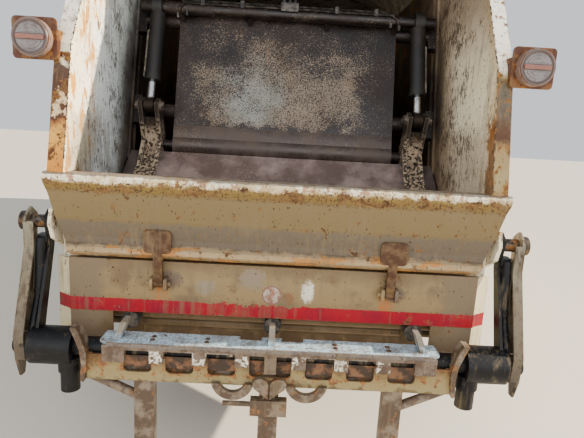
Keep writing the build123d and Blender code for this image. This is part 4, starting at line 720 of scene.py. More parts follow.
def wall_paint(tree, at):
    """Outside cream, rear flanges in zones by height, inner faces zoned by depth with painted shade and
    painted bounce light, and dashed by knocks.
    """
    x = node(tree, "SeparateXYZ", {0: at}, "X")
    away = from_middle(tree, at)
    height = wandering(tree, at, "Z", 0.09, 0.05)
    depth = wandering(tree, at, from_rear_edge(tree, at), 0.12, 0.06)
    right_side = soft_step(tree, x, -0.01, 0.01)
    left_flange = zones(tree, height, [
        (1.50, "#b06c1e"), (1.60, "#c8872f"), (1.70, "#d49c40"), (1.75, "#834e21"), (1.78, "#3c1a0b"),
        (1.83, "#4f2f19"), (1.93, "#462a19"), (2.02, "#4f3a2c"), (2.05, "#e2d6b8"), (2.40, "#f4f0e6")])
    right_flange = zones(tree, height, [
        (1.50, "#866737"), (1.60, "#93845c"), (1.73, "#8d7449"), (1.78, "#472c1b"), (1.86, "#4e341d"),
        (1.92, "#514a40"), (2.03, "#534c40"), (2.06, "#7a6832"), (2.12, "#ece4d0"), (2.50, "#f4f0e6")])
    # a tan patch is left where the brown ends on the left flange
    kept = overlap(tree, between(tree, height, 1.79, 1.89, 0.01),
                   soft_step(tree, mottle(tree, at, 0.05, 8.0), 0.50, 0.53))
    left_flange = blended(tree, kept, left_flange, "#d2b68a")
    flange = blended(tree, right_side, left_flange, right_flange)
    near_back = between(tree, from_rear_edge(tree, at), -0.2, 0.066)
    outside = blended(tree, near_back, "#e2d8bd", flange)
    # the left wall's inner face: cream by the rear edge, then a paler bluish white where the sun's shadow
    # falls on it, a painted tint of sky-lit shade, then darker to black deep inside
    left_inner = zones(tree, depth, [
        (0.00, "#fff0c8"), (0.26, "#fff8e4"), (0.38, "#f2f8f8"), (0.64, "#d6dede"), (0.82, "#605e5c"),
        (0.98, "#211d1b")])
    # the right wall's inner face is painted paler than its cream, a painted stand-in for bounce light from
    # the sunlit left wall, and darker to black deep inside
    right_inner = zones(tree, depth, [
        (0.00, "#e0ca9e"), (0.10, "#f2e6c6"), (0.50, "#f0e6ca"), (0.72, "#b8aa92"), (0.86, "#4c423a"),
        (0.98, "#211d1b")])
    # high on the right wall the cream is stained brown, low by its edge it is rusted orange
    high = soft_step(tree, height, 2.05, 2.50)
    right_inner = blended(tree, overlap(tree, high, 0.75), right_inner, "#77624f")
    low_edge = overlap(tree, between(tree, height, 1.3, 1.88, 0.03), between(tree, depth, -0.3, 0.10, 0.02))
    strip = blended(tree, soft_step(tree, mottle(tree, at, 0.04, 8.0), 0.44, 0.58), "#94602e", "#6e4628")
    right_inner = blended(tree, low_edge, right_inner, strip)
    # yellow stains 60 mm across run down the left wall by its edge
    stains = soft_step(tree, mottle(tree, at, 0.07, 5.0, 0.6, stretch=(1, 1, 2.2)), 0.51, 0.60)
    stains = overlap(tree, stains, between(tree, depth, -0.3, 0.30, 0.05))
    left_inner = blended(tree, stains, left_inner, "#d99a3c")
    # both walls are browner low down, the left one only by its edge
    brown = soft_step(tree, height, 1.86, 1.74)
    by_edge = overlap(tree, brown, between(tree, depth, 0.02, 0.40, 0.08))
    left_inner = blended(tree, overlap(tree, by_edge, 0.6), left_inner, "#85775f")
    right_inner = blended(tree, overlap(tree, brown, 0.45), right_inner, "#8a7458")
    inner = blended(tree, right_side, left_inner, right_inner)
    # knocks: upright dashes 8 mm wide and 25 mm long, more of them away from the edge
    dashes = mottle(tree, at, 0.011, 3.0, 0.55, stretch=(1, 1, 2.6))
    crowd = node(tree, "MapRange", {"Value": depth, "From Min": 0.12, "From Max": 0.42, "To Min": -0.14,
                                    "To Max": 0.0})
    crowd = node(tree, "Math", {0: crowd, 1: mottle(tree, at, 0.18, 4.0)}, operation="ADD")
    dashes = node(tree, "Math", {0: dashes, 1: crowd}, operation="ADD")
    knocked = soft_step(tree, dashes, 1.05, 1.12)
    inner = blended(tree, overlap(tree, knocked, 0.8), inner, "#3a2e26")
    # old sealant along the corner between wall and flange has cracked into dark crumbs
    close = between(tree, from_rear_edge(tree, at), -0.2, 0.005, 0.001)
    corner = between(tree, away, GATE_INNER - 0.003, GATE_INNER + 0.006, 0.001)
    crumbs = soft_step(tree, mottle(tree, at, 0.014, 4.0), 0.48, 0.52)
    paint = blended(tree, soft_step(tree, away, GATE_INNER + 0.001, GATE_INNER + 0.003), inner, outside)
    paint = blended(tree, overlap(tree, corner, close, crumbs), paint, "#2e241c")
    # the lifter's pivots and their knobs, outboard of the walls, are caked in grease
    outboard = soft_step(tree, away, PIVOT_X - 0.001, PIVOT_X + 0.001)
    z = node(tree, "SeparateXYZ", {0: at}, "Z")
    low = node(tree, "Math", {0: z, 1: PIVOT_TOP}, operation="LESS_THAN")
    greasy = blended(tree, soft_step(tree, mottle(tree, at, 0.02), 0.45, 0.60), "#1e1a18", "#4e443a")
    return blended(tree, overlap(tree, outboard, low), paint, greasy)


def wall_rust(tree, at):
    """More rust on the flanges below the break, hardly any on the scoured inner faces."""
    away = from_middle(tree, at)
    inner = overlap(tree, soft_step(tree, away, GATE_INNER + 0.002, GATE_INNER + 0.001), -0.12)
    low = between(tree, node(tree, "SeparateXYZ", {0: at}, "Z"), 1.52, 2.10, 0.03)
    near_back = between(tree, from_rear_edge(tree, at), -0.2, 0.075, 0.01)
    return node(tree, "Math", {0: overlap(tree, low, near_back, 0.05), 1: inner}, operation="ADD")


gate_enamel = flaking_enamel("flaking cream enamel", wall_paint, rust="#4a2c1c", ochre="#8e6434", bare=0.12,
                             pits=0.55, streaks=0.30, rubbed=0.6, patch=0.06, more=wall_rust)
dress(gate_enamel, "gate_walls")
gate_roof_enamel = flaking_enamel("greasy roof enamel", "#8d8372", rust="#2a2320", ochre="#6e5640", bare=0.35,
                                  pits=0.6, streaks=0.8)
dress(gate_roof_enamel, "gate_roof")


# Hopper trough: rolled wear plate, never painted inside; wet refuse keeps it brown and
# black, and the blade's edge has drawn scratches along its run.
trough_steel, tree, shader, at = blank_finish("greasy wear plate", 0.42, 0.5)
scratched = mottle(tree, at, 0.010, 6.0, stretch=(1, 24, 24))
rusted = soft_step(tree, mottle(tree, at, 0.22), 0.38, 0.62)
worn = blended(tree, soft_step(tree, scratched, 0.44, 0.68), "#2c211b", "#6b5f54")
tree.links.new(blended(tree, rusted, worn, "#3e281b"), shader.inputs["Base Color"])
bumped(tree, shader, scratched, 0.0006)
dress(trough_steel, "hopper_trough")


# Rear panel: sheet steel in dusty cream, stained brown, with a band of red tape across
# it 69 mm wide. The tape is torn along its top edge in the middle. A round patch 100 mm
# across is bare where something was once stuck on.
BAND_LOW = 0.839
BAND_HIGH = 0.908
PATCH_AT = (-0.011, 0, 0.961)
PATCH_R = 0.050
STRAP_X = 0.565
SIDE_PLATE_X = 1.0095
SHELF_HALF = 0.799
# old stains: (x, z, half the width, half the height, colour)
STAINS = ((-0.515, 1.020, 0.050, 0.045, "#5e5048"), (0.600, 1.000, 0.045, 0.040, "#5e5048"),
          (0.075, 0.950, 0.022, 0.028, "#7a5236"), (0.165, 0.985, 0.028, 0.050, "#ddd6c4"),
          (-0.110, 1.040, 0.060, 0.050, "#7e7262"), (-0.340, 0.985, 0.045, 0.035, "#837866"))


def panel_paint(tree, at):
    """Tan by height and greyer towards the ends, with stains, the round patch and the red band."""
    height = wandering(tree, at, "Z", 0.08, 0.03)
    x = node(tree, "SeparateXYZ", {0: at}, "X")
    away = from_middle(tree, at)
    tan = zones(tree, height, [(0.66, "#4f3e2a"), (0.82, "#695438"), (0.93, "#86704c"), (1.03, "#85714f"),
                               (1.10, "#6d5b42")])
    tan = blended(tree, soft_step(tree, mottle(tree, at, 0.16, 6.0), 0.50, 0.68), tan, "#695740")
    # greyer towards the ends, and pale enamel on the side plates that stand at a slant
    tan = blended(tree, between(tree, wandering(tree, at, away, 0.10, 0.05), 0.84, 1.2, 0.06), tan, "#70604c")
    slanting = soft_step(tree, away, SIDE_PLATE_X - 0.0025, SIDE_PLATE_X + 0.0025)
    coat = blended(tree, slanting, tan, "#d2c6a0")
    # rust has run down from both hinges
    hinge = between(tree, away, STRAP_X - 0.035, STRAP_X + 0.030, 0.02)
    below = between(tree, height, 0.90, 0.99, 0.02)
    runs = soft_step(tree, mottle(tree, at, 0.02, 4.0, stretch=(1, 1, 6)), 0.40, 0.60)
    coat = blended(tree, overlap(tree, hinge, below, runs), coat, "#a8642e")
    # smudges beside the hinges and left of the middle, a brown spot and a pale scrape right of it
    for x_at, z_at, wide, tall, colour in STAINS:
        flat = node(tree, "VectorMath", {0: at, 1: (1 / wide, 0, 1 / tall)}, operation="MULTIPLY")
        heart = (x_at / wide, 0, z_at / tall)
        far = node(tree, "VectorMath", {0: flat, 1: heart}, "Value", operation="DISTANCE")
        spot = soft_step(tree, wandering(tree, at, far, 0.03, 0.45), 1.35, 0.75)
        coat = blended(tree, overlap(tree, spot, 0.8), coat, colour)
    # the patch with its edge of old glue
    flat = node(tree, "VectorMath", {0: at, 1: (1, 0, 1)}, operation="MULTIPLY")
    reach = node(tree, "VectorMath", {0: flat, 1: PATCH_AT}, "Value", operation="DISTANCE")
    reach = wandering(tree, at, reach, 0.012, 0.003)
    patch = blended(tree, soft_step(tree, mottle(tree, at, 0.03), 0.42, 0.60), "#a89c8c", "#8a5c4c")
    coat = blended(tree, between(tree, reach, -1, PATCH_R), coat, patch)
    coat = blended(tree, between(tree, reach, PATCH_R - 0.007, PATCH_R, 0.0015), coat, "#7c5248")
    # the tape: straight below, torn above near the middle
    middle = between(tree, x, -0.35, 0.15, 0.10)
    torn = node(tree, "MapRange", {"Value": mottle(tree, at, 0.06, 4.0), "From Min": 0.40, "From Max": 0.60,
                                   "To Min": -0.016, "To Max": 0.008})
    z = node(tree, "SeparateXYZ", {0: at}, "Z")
    level = node(tree, "Math", {0: z, 1: overlap(tree, torn, middle)}, operation="SUBTRACT")
    level = wandering(tree, at, level, 0.02, 0.002)
    tape = between(tree, level, BAND_LOW, BAND_HIGH, 0.0012)
    scraped = soft_step(tree, mottle(tree, at, 0.05, 8.0, 0.7), 0.66, 0.68)
    tape = node(tree, "Math", {0: tape, 1: scraped}, operation="SUBTRACT", use_clamp=True)
    red = blended(tree, soft_step(tree, mottle(tree, at, 0.10), 0.35, 0.70), "#98001a", "#800c26")
    return blended(tree, tape, coat, red)


panel_enamel = flaking_enamel("stained tan enamel", panel_paint, rust="#43301f", ochre="#7c6040", bare=0.04,
                              pits=0.30, streaks=0.30, rubbed=0.5, patch=0.08)
dress(panel_enamel, "rear_panel")
# a stiffening sheet closes the shelf behind its lower tube
shape = bmesh.new()
slab(shape, (-SHELF_HALF, -3.674, 0.640), (SHELF_HALF, -3.670, 0.775))
piece("shelf_sheet", "tailgate", panel_enamel, shape, smooth=0)


# Buffers: moulded rubber cylinders, bolted through the shelf, dusty and rubbed black at
# their faces.
buffer_rubber = patchy_finish("moulded buffer rubber", 0.75, 0.0, ("#191817", "#564c40"), 0.03, (0.42, 0.65),
                              relief=(0.004, 0.0005))
dress(buffer_rubber, "buffers")


# Rear lamps: round acrylic lenses in grey rims on square plates that rust in patches of
# brown and yellow. An orange bar crosses each lens, with a ribbed half above and below.
LAMP_X = 1.133
LAMP_Z = 2.118
LAMP_FACE_Y = -3.880
LAMP_BODY_R = 0.0855
LAMP_PLATE_Y = -3.8405


def lamp_plate_paint(tree, at):
    """Brown and yellow rust in patches; the lamp's own body, proud of the plate, is grey."""
    patches = soft_step(tree, mottle(tree, at, 0.07, 8.0), 0.50, 0.56)
    coat = blended(tree, patches, "#4c2917", "#6a441f")
    z = node(tree, "SeparateXYZ", {0: at}, "Z")
    flat = node(tree, "CombineXYZ", {"X": from_middle(tree, at), "Z": z})
    reach = node(tree, "VectorMath", {0: flat, 1: (LAMP_X, 0, LAMP_Z)}, "Value", operation="DISTANCE")
    y = node(tree, "SeparateXYZ", {0: at}, "Y")
    proud = between(tree, y, -4, LAMP_PLATE_Y, 0.0003)
    body = overlap(tree, between(tree, reach, -1, LAMP_BODY_R, 0.0005), proud)
    return blended(tree, body, coat, "#7c6862")


lamp_plate_enamel = flaking_enamel("rusted plate enamel", lamp_plate_paint, bare=0.12, pits=0.35, streaks=0.3,
                                   rubbed=0.6, patch=0.05)
dress(lamp_plate_enamel, "rear_lamps")
aged_acrylic = patchy_finish("aged acrylic rim", 0.38, 0.0, ("#584944", "#503d36"), 0.05, (0.42, 0.72),
                             relief=(0.004, 0.0002))
amber_acrylic = patchy_finish("amber acrylic", 0.42, 0.0, ("#7c4634", "#6a3c2c"), 0.03, (0.40, 0.75),
                              sockets={"Coat Weight": 0.1})
ribbed_acrylic = patchy_finish("ribbed acrylic reflector", 0.16, 0.55, ("#635d5b", "#48403d"),
                               0.04, (0.40, 0.75))


def raised(shape, outline, y_back, y_front, inset=0.0015):
    """Adds a plate to a bmesh: an outline (x, z) between two y values, bevelled in front by an inset."""
    middle = sum((Vector((x, 0, z)) for x, z in outline), Vector()) / len(outline)
    rings = []
    for y, drawn in ((y_back, 0), (y_front * 0.6 + y_back * 0.4, 0), (y_front, inset)):
        ring = []
        for x, z in outline:
            arm = Vector((x, 0, z)) - middle
            arm *= 1 - drawn / max(arm.length, 1e-6)
            ring.append(shape.verts.new(middle + arm + Vector((0, y, 0))))
        rings.append(ring)
    for low, high in zip(rings, rings[1:]):
        for k in range(len(outline)):
            shape.faces.new([low[k], low[(k + 1) % len(outline)], high[(k + 1) % len(outline)], high[k]])
    shape.faces.new(rings[0])
    shape.faces.new(rings[-1])


RIM_PROFILE = [(0, 0), (0.078, 0), (0.080, 0.004), (0.078, 0.008), (0.073, 0.009), (0.069, 0.006),
               (0.067, 0.002), (0, 0.002)]
# each half has three steps, one standing on the other: (radius, gap to the bar, height)
STEPS = ((0.064, 0.014, 0.004), (0.052, 0.018, 0.006), (0.038, 0.021, 0.008))
rims = bmesh.new()
bars = bmesh.new()
halves = bmesh.new()
for side in (-1, 1):
    lamp = (side * LAMP_X, LAMP_FACE_Y, LAMP_Z)
    turned(rims, RIM_PROFILE, lamp, (0, -1, 0), 48)
    # the bar crosses the whole lens, and its ends are rounded
    bar = []
    for k in range(32):
        angle = 2 * pi * k / 32
        half_tall = 0.010 * min(1, abs(sin(angle)) * 4)
        bar.append((lamp[0] + 0.064 * cos(angle), lamp[2] + (half_tall if sin(angle) > 0 else -half_tall)))
    raised(bars, bar, LAMP_FACE_Y - 0.001, LAMP_FACE_Y - 0.009)
    for half in (-1, 1):
        for radius, gap, proud in STEPS:
            first = gap / radius
            span = [first + (pi - 2 * first) * k / 20 for k in range(21)]
            raised(halves, [(lamp[0] + radius * cos(a), lamp[2] + half * radius * sin(a)) for a in span],
                   LAMP_FACE_Y - 0.001, LAMP_FACE_Y - proud)
piece("lamp_rims", "tailgate", aged_acrylic, rims)
piece("lamp_bars", "tailgate", amber_acrylic, bars)
piece("lamp_reflectors", "tailgate", ribbed_acrylic, halves)


# Loading flap: a folded box with a tall rim that bins and sacks strike. The rim is
# scraped to bluish white primer with rust spots, an ochre stain runs below it, and the
# tan apron under it is pitted; two strap hinges of thick rusty plate carry it.
STRAP_HALF = 0.066
STRAP_FACE_Y = -3.8985
STRAP_TOP = 1.276
SHEET_FOOT = 1.125


def flap_paint(tree, at):
    """Colour by height, with blue-white scrapes on the rim and rust on the hinge straps."""
    height = wandering(tree, at, "Z", 0.07, 0.012)
    coat = zones(tree, height, [
        (1.126, "#664a24"), (1.150, "#a08a68"), (1.186, "#8f7b5d"), (1.196, "#594e41"), (1.300, "#5f5546"),
        (1.318, "#6c5b3b"), (1.440, "#6f5e3e"), (1.462, "#715b2d"), (1.486, "#79622d"), (1.500, "#c8b084"),
        (1.531, "#d2c09a")])
    scrapes = soft_step(tree, mottle(tree, at, 0.12, 8.0, stretch=(1, 1, 0.4)), 0.58, 0.62)
    rim = between(tree, height, 1.497, 1.6, 0.004)
    coat = blended(tree, overlap(tree, scrapes, rim), coat, "#bccbd8")
    creamy = soft_step(tree, mottle(tree, at, 0.10, 7.0, stretch=(0.6, 1, 1)), 0.49, 0.53)
    coat = blended(tree, overlap(tree, creamy, rim), coat, "#e8dcc0")
    pinkish = soft_step(tree, mottle(tree, at, 0.06, 7.0, stretch=(0.5, 1, 1)), 0.56, 0.60)
    coat = blended(tree, overlap(tree, pinkish, rim), coat, "#a88468")
    # the stained step below the rim is speckled with dark pits 4 mm across
    speckled = between(tree, height, 1.440, 1.506, 0.010)
    speckled = overlap(tree, speckled, soft_step(tree, mottle(tree, at, 0.012, 4.0, 0.6), 0.54, 0.58))
    coat = blended(tree, speckled, coat, "#4a3424")
    line = between(tree, wandering(tree, at, "Z", 0.05, 0.004), 1.452, 1.457, 0.002)
    line = overlap(tree, line, soft_step(tree, mottle(tree, at, 0.05, 6.0), 0.46, 0.54))
    coat = blended(tree, line, coat, "#5a4028")
    # the rim's upper edge is bare dark steel, and rust lines the ridge below
    worn = soft_step(tree, wandering(tree, at, "Z", 0.05, 0.006), 1.519, 1.523)
    coat = blended(tree, overlap(tree, worn, 0.8), coat, "#5a5048")
    ridge = overlap(tree, between(tree, height, 1.10, 1.190, 0.004),
                    soft_step(tree, mottle(tree, at, 0.09, 7.0, stretch=(2, 1, 0.6)), 0.50, 0.58))
    coat = blended(tree, ridge, coat, "#a5713a")
    # the hinge straps are what stands proud of the sheet there, and all that hangs below it
    y = node(tree, "SeparateXYZ", {0: at}, "Y")
    z = node(tree, "SeparateXYZ", {0: at}, "Z")
    plate = between(tree, from_middle(tree, at), STRAP_X - STRAP_HALF, STRAP_X + STRAP_HALF, 0.001)
    proud = node(tree, "Math", {0: y, 1: STRAP_FACE_Y}, operation="LESS_THAN")
    level = between(tree, z, 0.9, STRAP_TOP, 0.001)
    low = node(tree, "Math", {0: z, 1: SHEET_FOOT}, operation="LESS_THAN")
    strap = node(tree, "Math", {0: overlap(tree, plate, proud, level), 1: low}, operation="MAXIMUM")
    iron = blended(tree, soft_step(tree, mottle(tree, at, 0.05, 8.0), 0.42, 0.58), "#422917", "#59432c")
    return blended(tree, strap, coat, iron)


def flap_rust(tree, at):
    """More rust on the stained step below the rim."""
    z = node(tree, "SeparateXYZ", {0: at}, "Z")
    return overlap(tree, between(tree, z, 1.448, 1.502, 0.01), 0.09)


flap_enamel = flaking_enamel("scraped cream enamel", flap_paint, rust="#43301f", ochre="#7c5c38", bare=0.06,
                             pits=0.35, streaks=0.20, rubbed=0.5, patch=0.05, more=flap_rust)
dress(flap_enamel, "loading_flap")

# bolts: hexagon heads on washers, rusted; the lifter and the clamp plate use them too
rusted_bolt = patchy_finish("rusted bolt steel", 0.6, 0.6, ("#6a5644", "#4a2a18"), 0.012, (0.42, 0.62),
                            relief=(0.003, 0.0004))


def bolt(shape, place, axis, across=0.012, tall=0.009):
    """A hexagon head on its washer."""
    turned(shape, [(0, 0), (across * 1.5, 0), (across * 1.5, 0.002), (0, 0.002)], place, axis, 20)
    head = [(0, 0.001), (across, 0.001), (across, tall), (across * 0.85, tall + 0.002), (0, tall + 0.002)]
    turned(shape, head, place, axis, 6)


# Carriage and packing blade: thick plate that slides on rubbish, never painted again.
# The carriage is black with grease, worn to a tan and grey speckle low in its middle;
# the blade below it is a dull purple brown, and cream still clings to its crank plates.
CRANK_X = 0.835
CRANK_GAP = 0.038
CRANK_PLATE = 0.025
CRANK_EYE = Vector((0, -3.010, 1.860))
POLISH_AT = Vector((-0.22, -2.86, 1.93))


def carriage_wear(tree, at):
    """Most where the plate's lower middle rubs, none towards its top and ends."""
    away = from_middle(tree, at)
    sides = soft_step(tree, wandering(tree, at, away, 0.25, 0.12), 0.66, 0.40)
    height = wandering(tree, at, "Z", 0.25, 0.14)
    level = overlap(tree, soft_step(tree, height, 1.76, 1.84), soft_step(tree, height, 2.46, 2.02))
    return overlap(tree, sides, level)


def blade_wear(tree, at):
    """A little everywhere on the blade's face."""
    return soft_step(tree, mottle(tree, at, 0.30, 4.0), 0.45, 0.75)


def blade_lugs(tree, at, coat):
    """Grease on the blade's ends and crank plates, with cream flakes on the plates' lower half."""
    away = from_middle(tree, at)
    lug_half = CRANK_GAP + CRANK_PLATE + 0.002
    lug = between(tree, away, CRANK_X - lug_half, CRANK_X + lug_half, 0.001)
    low = soft_step(tree, wandering(tree, at, "Z", 0.06, 0.04), 1.79, 1.72)
    flakes = soft_step(tree, mottle(tree, at, 0.018, 5.0), 0.50, 0.53)
    # the blade's ends, beyond the wear sheet, stay black with grease
    ends = soft_step(tree, wandering(tree, at, away, 0.10, 0.05), 0.68, 0.80)
    coat = blended(tree, overlap(tree, ends, 0.75), coat, "#38302d")
    coat = blended(tree, lug, coat, "#37302a")
    # the crank plates' edges are painted pale: partly rubbed wear, partly a painted highlight where light
    # glints on them
    rubbed = overlap(tree, lug, rubbed_edges(tree, 0.006))
    coat = blended(tree, rubbed, coat, "#8d8270")
    share = overlap(tree, lug, low, flakes)
    return blended(tree, share, coat, "#b09c84")


def greased_steel(name, dark, film_tint, speckle, bare, wear, gloss=0.45, more=None, grain=0.010, soft=0.02):
    """Greasy steel: `wear` lays out where it is rubbed, and the speckle and the bare colour show there."""
    finish, tree, shader, at = blank_finish(name, gloss, 0.3)
    film = soft_step(tree, mottle(tree, at, 0.22, 7.0, 0.65, stretch=(1, 1, 1.8)), 0.40, 0.66)
    coat = blended(tree, film, dark, film_tint)
    worn = wear(tree, at)
    # speckle: grains a few millimetres across, crowding together where the wear is strong
    grains = mottle(tree, at, grain, 3.0, 0.6)
    grains = node(tree, "Math", {0: grains, 1: overlap(tree, worn, 0.16)}, operation="ADD")
    crowd = overlap(tree, mottle(tree, at, 0.16, 6.0), 0.35)
    grains = node(tree, "Math", {0: grains, 1: crowd}, operation="ADD")
    coat = blended(tree, soft_step(tree, grains, 0.82 - soft, 0.82 + soft), coat, speckle)
    polish = node(tree, "VectorMath", {0: at, 1: POLISH_AT}, "Value", operation="DISTANCE")
    polish = soft_step(tree, wandering(tree, at, polish, 0.15, 0.12), 0.30, 0.02)
    polish = overlap(tree, polish, soft_step(tree, grains, 0.70, 0.86))
    coat = blended(tree, polish, coat, bare)
    edges = overlap(tree, rubbed_edges(tree, 0.008), 0.45)
    coat = blended(tree, edges, coat, film_tint)
    if more:
        coat = more(tree, at, coat)
    tree.links.new(coat, shader.inputs["Base Color"])
    rough = node(tree, "MapRange", {"Value": film, "To Min": gloss - 0.12, "To Max": gloss + 0.22})
    tree.links.new(rough, shader.inputs["Roughness"])
    bumped(tree, shader, mottle(tree, at, 0.012, 8.0, 0.7), 0.0012)
    return finish


carriage_steel = greased_steel("worn carriage plate", "#150e0e", "#261c1a", "#766757", "#7b7c74",
                               carriage_wear, grain=0.0065, soft=0.045)
dress(carriage_steel, "carriage")
blade_steel = greased_steel("dull blade plate", "#6c5c57", "#9c8984", "#8f7d75", "#94867e", blade_wear,
                            more=blade_lugs)
dress(blade_steel, "packer_blade")

# a web 4 mm thick joins each pair of crank plates; its cream paint is knocked through in dots
WEB_Y = -2.975
WEB_LOW = 1.570
WEB_HIGH = 1.798
WEB_LEAN = radians(21.5)


def web_paint(tree, at):
    """Cream at the foot of the web, black with grease at its head."""
    height = wandering(tree, at, "Z", 0.05, 0.03)
    coat = zones(tree, height, [(1.67, "#b09c84"), (1.715, "#8a7866"), (1.75, "#241f1b")])
    dots = soft_step(tree, mottle(tree, at, 0.020, 3.0, 0.5), 0.54, 0.57)
    return blended(tree, dots, coat, "#2a221c")


web_enamel = flaking_enamel("knocked web enamel", web_paint, ochre="#5c4a38", bare=0.02, pits=0.3,
                            streaks=0.1, rubbed=0.3, patch=0.03)
shape = bmesh.new()
for side in (-1, 1):
    slab(shape, (side * CRANK_X - CRANK_GAP, WEB_Y - 0.002, WEB_LOW),
         (side * CRANK_X + CRANK_GAP, WEB_Y + 0.002, WEB_HIGH), Euler((WEB_LEAN, 0, 0)))
piece("crank_webs", "blade_body", web_enamel, shape, smooth=0)

# a wear sheet 4 mm thick is lapped over the carriage's lower edge and rolled round the hinge
HINGE = Vector((0, -2.900, 1.620))
ROLL_R = 0.070
ROLL_SHEET = 0.004
ROLL_HALF = 0.7035
roll_steel = greased_steel("rolled wear sheet", "#372c28", "#544841", "#514337", "#625650", blade_wear,
                           gloss=0.5)
shape = bmesh.new()
# its section, (y, z): down the carriage's face, round the hinge, and back on the inside
outline = [(-2.9225, 1.748), (-2.9270, 1.742), (-2.9420, 1.700)]
for radius, degrees in ((ROLL_R, range(132, 296, 8)), (ROLL_R - ROLL_SHEET, range(288, 131, -8))):
    for angle in (radians(d) for d in degrees):
        outline.append((HINGE.y + radius * cos(angle), HINGE.z + radius * sin(angle)))
outline.append((-2.9340, 1.696))
rings = [[shape.verts.new((x, y, z)) for y, z in outline] for x in (-ROLL_HALF, ROLL_HALF)]
for k in range(len(outline)):
    after = (k + 1) % len(outline)
    shape.faces.new([rings[0][k], rings[0][after], rings[1][after], rings[1][k]])
for ring in rings:
    shape.faces.new(ring)
piece("hinge_roll", "carriage_body", roll_steel, shape)


# Hydraulic cylinders: cold drawn tube painted dark grey, with induction hardened rods,
# ground and chromed, that carry a film of oil.
barrel_enamel = dusty_enamel("oily cylinder enamel", "#0f0f11", "#221c17", 0.5, 0.1)
dress(barrel_enamel, "blade_barrels", "gate_barrels")
hard_chrome, tree, shader, at = blank_finish("ground hard chrome", 0.14, 1.0)
tree.links.new(blended(tree, soft_step(tree, mottle(tree, at, 0.04, 6.0), 0.48, 0.72), "#d2d4d6", "#8f8880"),
               shader.inputs["Base Color"])
film = node(tree, "MapRange", {"Value": mottle(tree, at, 0.03), "From Min": 0.3, "From Max": 0.7,
                               "To Min": 0.10, "To Max": 0.32})
tree.links.new(film, shader.inputs["Roughness"])
dress(hard_chrome, "gate_rods")
# the blade rods' eyes are forged and never wiped: old grease covers all below this height
EYE_TOP = 1.915
greasy_chrome = hard_chrome.copy()
greasy_chrome.name = "greasy hard chrome"
tree = greasy_chrome.node_tree
shader = tree.nodes["Principled BSDF"]
at = node(tree, "TexCoord", {}, "Object")
eye = soft_step(tree, wandering(tree, at, "Z", 0.02, 0.006), EYE_TOP + 0.010, EYE_TOP - 0.010)
bright = shader.inputs["Base Color"].links[0].from_socket
tree.links.new(blended(tree, eye, bright, "#3a322d"), shader.inputs["Base Color"])
dull = node(tree, "MapRange", {"Value": eye, "To Min": 0.2, "To Max": 0.6})
tree.links.new(dull, shader.inputs["Roughness"])
dress(greasy_chrome, "blade_rods")

# rigid pipes, 15 mm outside, clipped along the carriage's top tube, with a distributor
# in the middle; zinc plated once, now black with grease
TOP_TUBE = Vector((0, -2.790, 2.480))
PIPE_R = 0.0075
PIPE_REACH = 0.70
CLIPS_X = (-0.55, -0.30, 0.30, 0.55)
pipe_steel = patchy_finish("greasy zinc pipe", 0.4, 0.6, ("#1a1816", "#4c4640"), 0.03, (0.42, 0.66),
                           relief=(0.006, 0.0004))
shape = bmesh.new()
for lane, rise in ((0, 0.030), (1, 0.050)):
    # the upper lane ends 50 mm nearer the middle; each pipe turns down to a union nut
    end = PIPE_REACH - 0.05 * lane
    y = TOP_TUBE.y - 0.036 + 0.030 * lane
    z = TOP_TUBE.z + rise
    for side in (-1, 1):
        bends = ((0.05, 0, 0), (end - 0.04, 0, 0), (end - 0.01, -0.02, -0.03), (end, -0.02, -0.075))
        bead(shape, [Vector((side * x, y + back, z + drop)) for x, back, drop in bends], PIPE_R, closed=False)
        union = (side * end, y - 0.02, z - 0.095)
        turned(shape, [(0, 0), (0.013, 0), (0.013, 0.030), (0, 0.030)], union, (0, 0, 1), 6)
# the distributor: a block with three plugs
slab(shape, (-0.055, TOP_TUBE.y - 0.050, TOP_TUBE.z + 0.014), (0.055, TOP_TUBE.y + 0.008, TOP_TUBE.z + 0.066))
for x in (-0.035, 0.0, 0.035):
    plug = [(0, 0), (0.015, 0), (0.015, 0.022), (0.010, 0.030), (0, 0.030)]
    turned(shape, plug, (x, TOP_TUBE.y - 0.020, TOP_TUBE.z + 0.064), (0, 0, 1), 6)
# clips: a bent strap round the tube and both pipes
for x in CLIPS_X:
    slab(shape, (x - 0.012, TOP_TUBE.y - 0.047, TOP_TUBE.z + 0.018),
         (x + 0.012, TOP_TUBE.y + 0.005, TOP_TUBE.z + 0.060))
piece("carriage_pipes", "carriage_body", pipe_steel, shape)
# a feed pipe 11 mm outside runs down the outer side of each blade barrel to its gland
FEED_R = 0.0055
shape = bmesh.new()
down = (CRANK_EYE - TOP_TUBE).normalized()
for side in (-1, 1):
    head = Vector((side * (CRANK_X + 0.046), -0.030, -0.011)) + TOP_TUBE
    feed = [head + down * 0.13 + Vector((-side * 0.02, 0.010, 0)), head + down * 0.16, head + down * 0.455,
            head + down * 0.475 + Vector((-side * 0.02, 0.012, 0))]
    bead(shape, feed, FEED_R, closed=False)
zinc_pipe = patchy_finish("dusty zinc pipe", 0.45, 0.4, ("#857c70", "#4a423b"), 0.03, (0.42, 0.66))
piece("barrel_pipes", "blade_barrel_pair", zinc_pipe, shape)


# Pivots: turned steel collars where the crank plates hold the rods' pins, each with a
# grease nipple in its middle, all caked in old grease.
BOSS_PROUD = 0.012
old_grease = patchy_finish("greased pin steel", 0.35, 0.6, ("#1f1b19", "#6e6258"), 0.02, (0.40, 0.62),
                           relief=(0.005, 0.0008))


def collar(shape, place, side, radius):
    """A collar on a pin's end with its grease nipple; side is the way it faces along X."""
    ring = [(0, 0), (radius, 0), (radius, 0.012), (radius * 0.9, 0.016), (radius * 0.55, 0.016),
            (radius * 0.5, 0.012), (0, 0.012)]
    turned(shape, ring, place, (side, 0, 0), 32)
    nipple = [(0, 0.011), (0.006, 0.011), (0.006, 0.017), (0.004, 0.020), (0.0045, 0.025), (0, 0.027)]
    turned(shape, nipple, place, (side, 0, 0), 8)


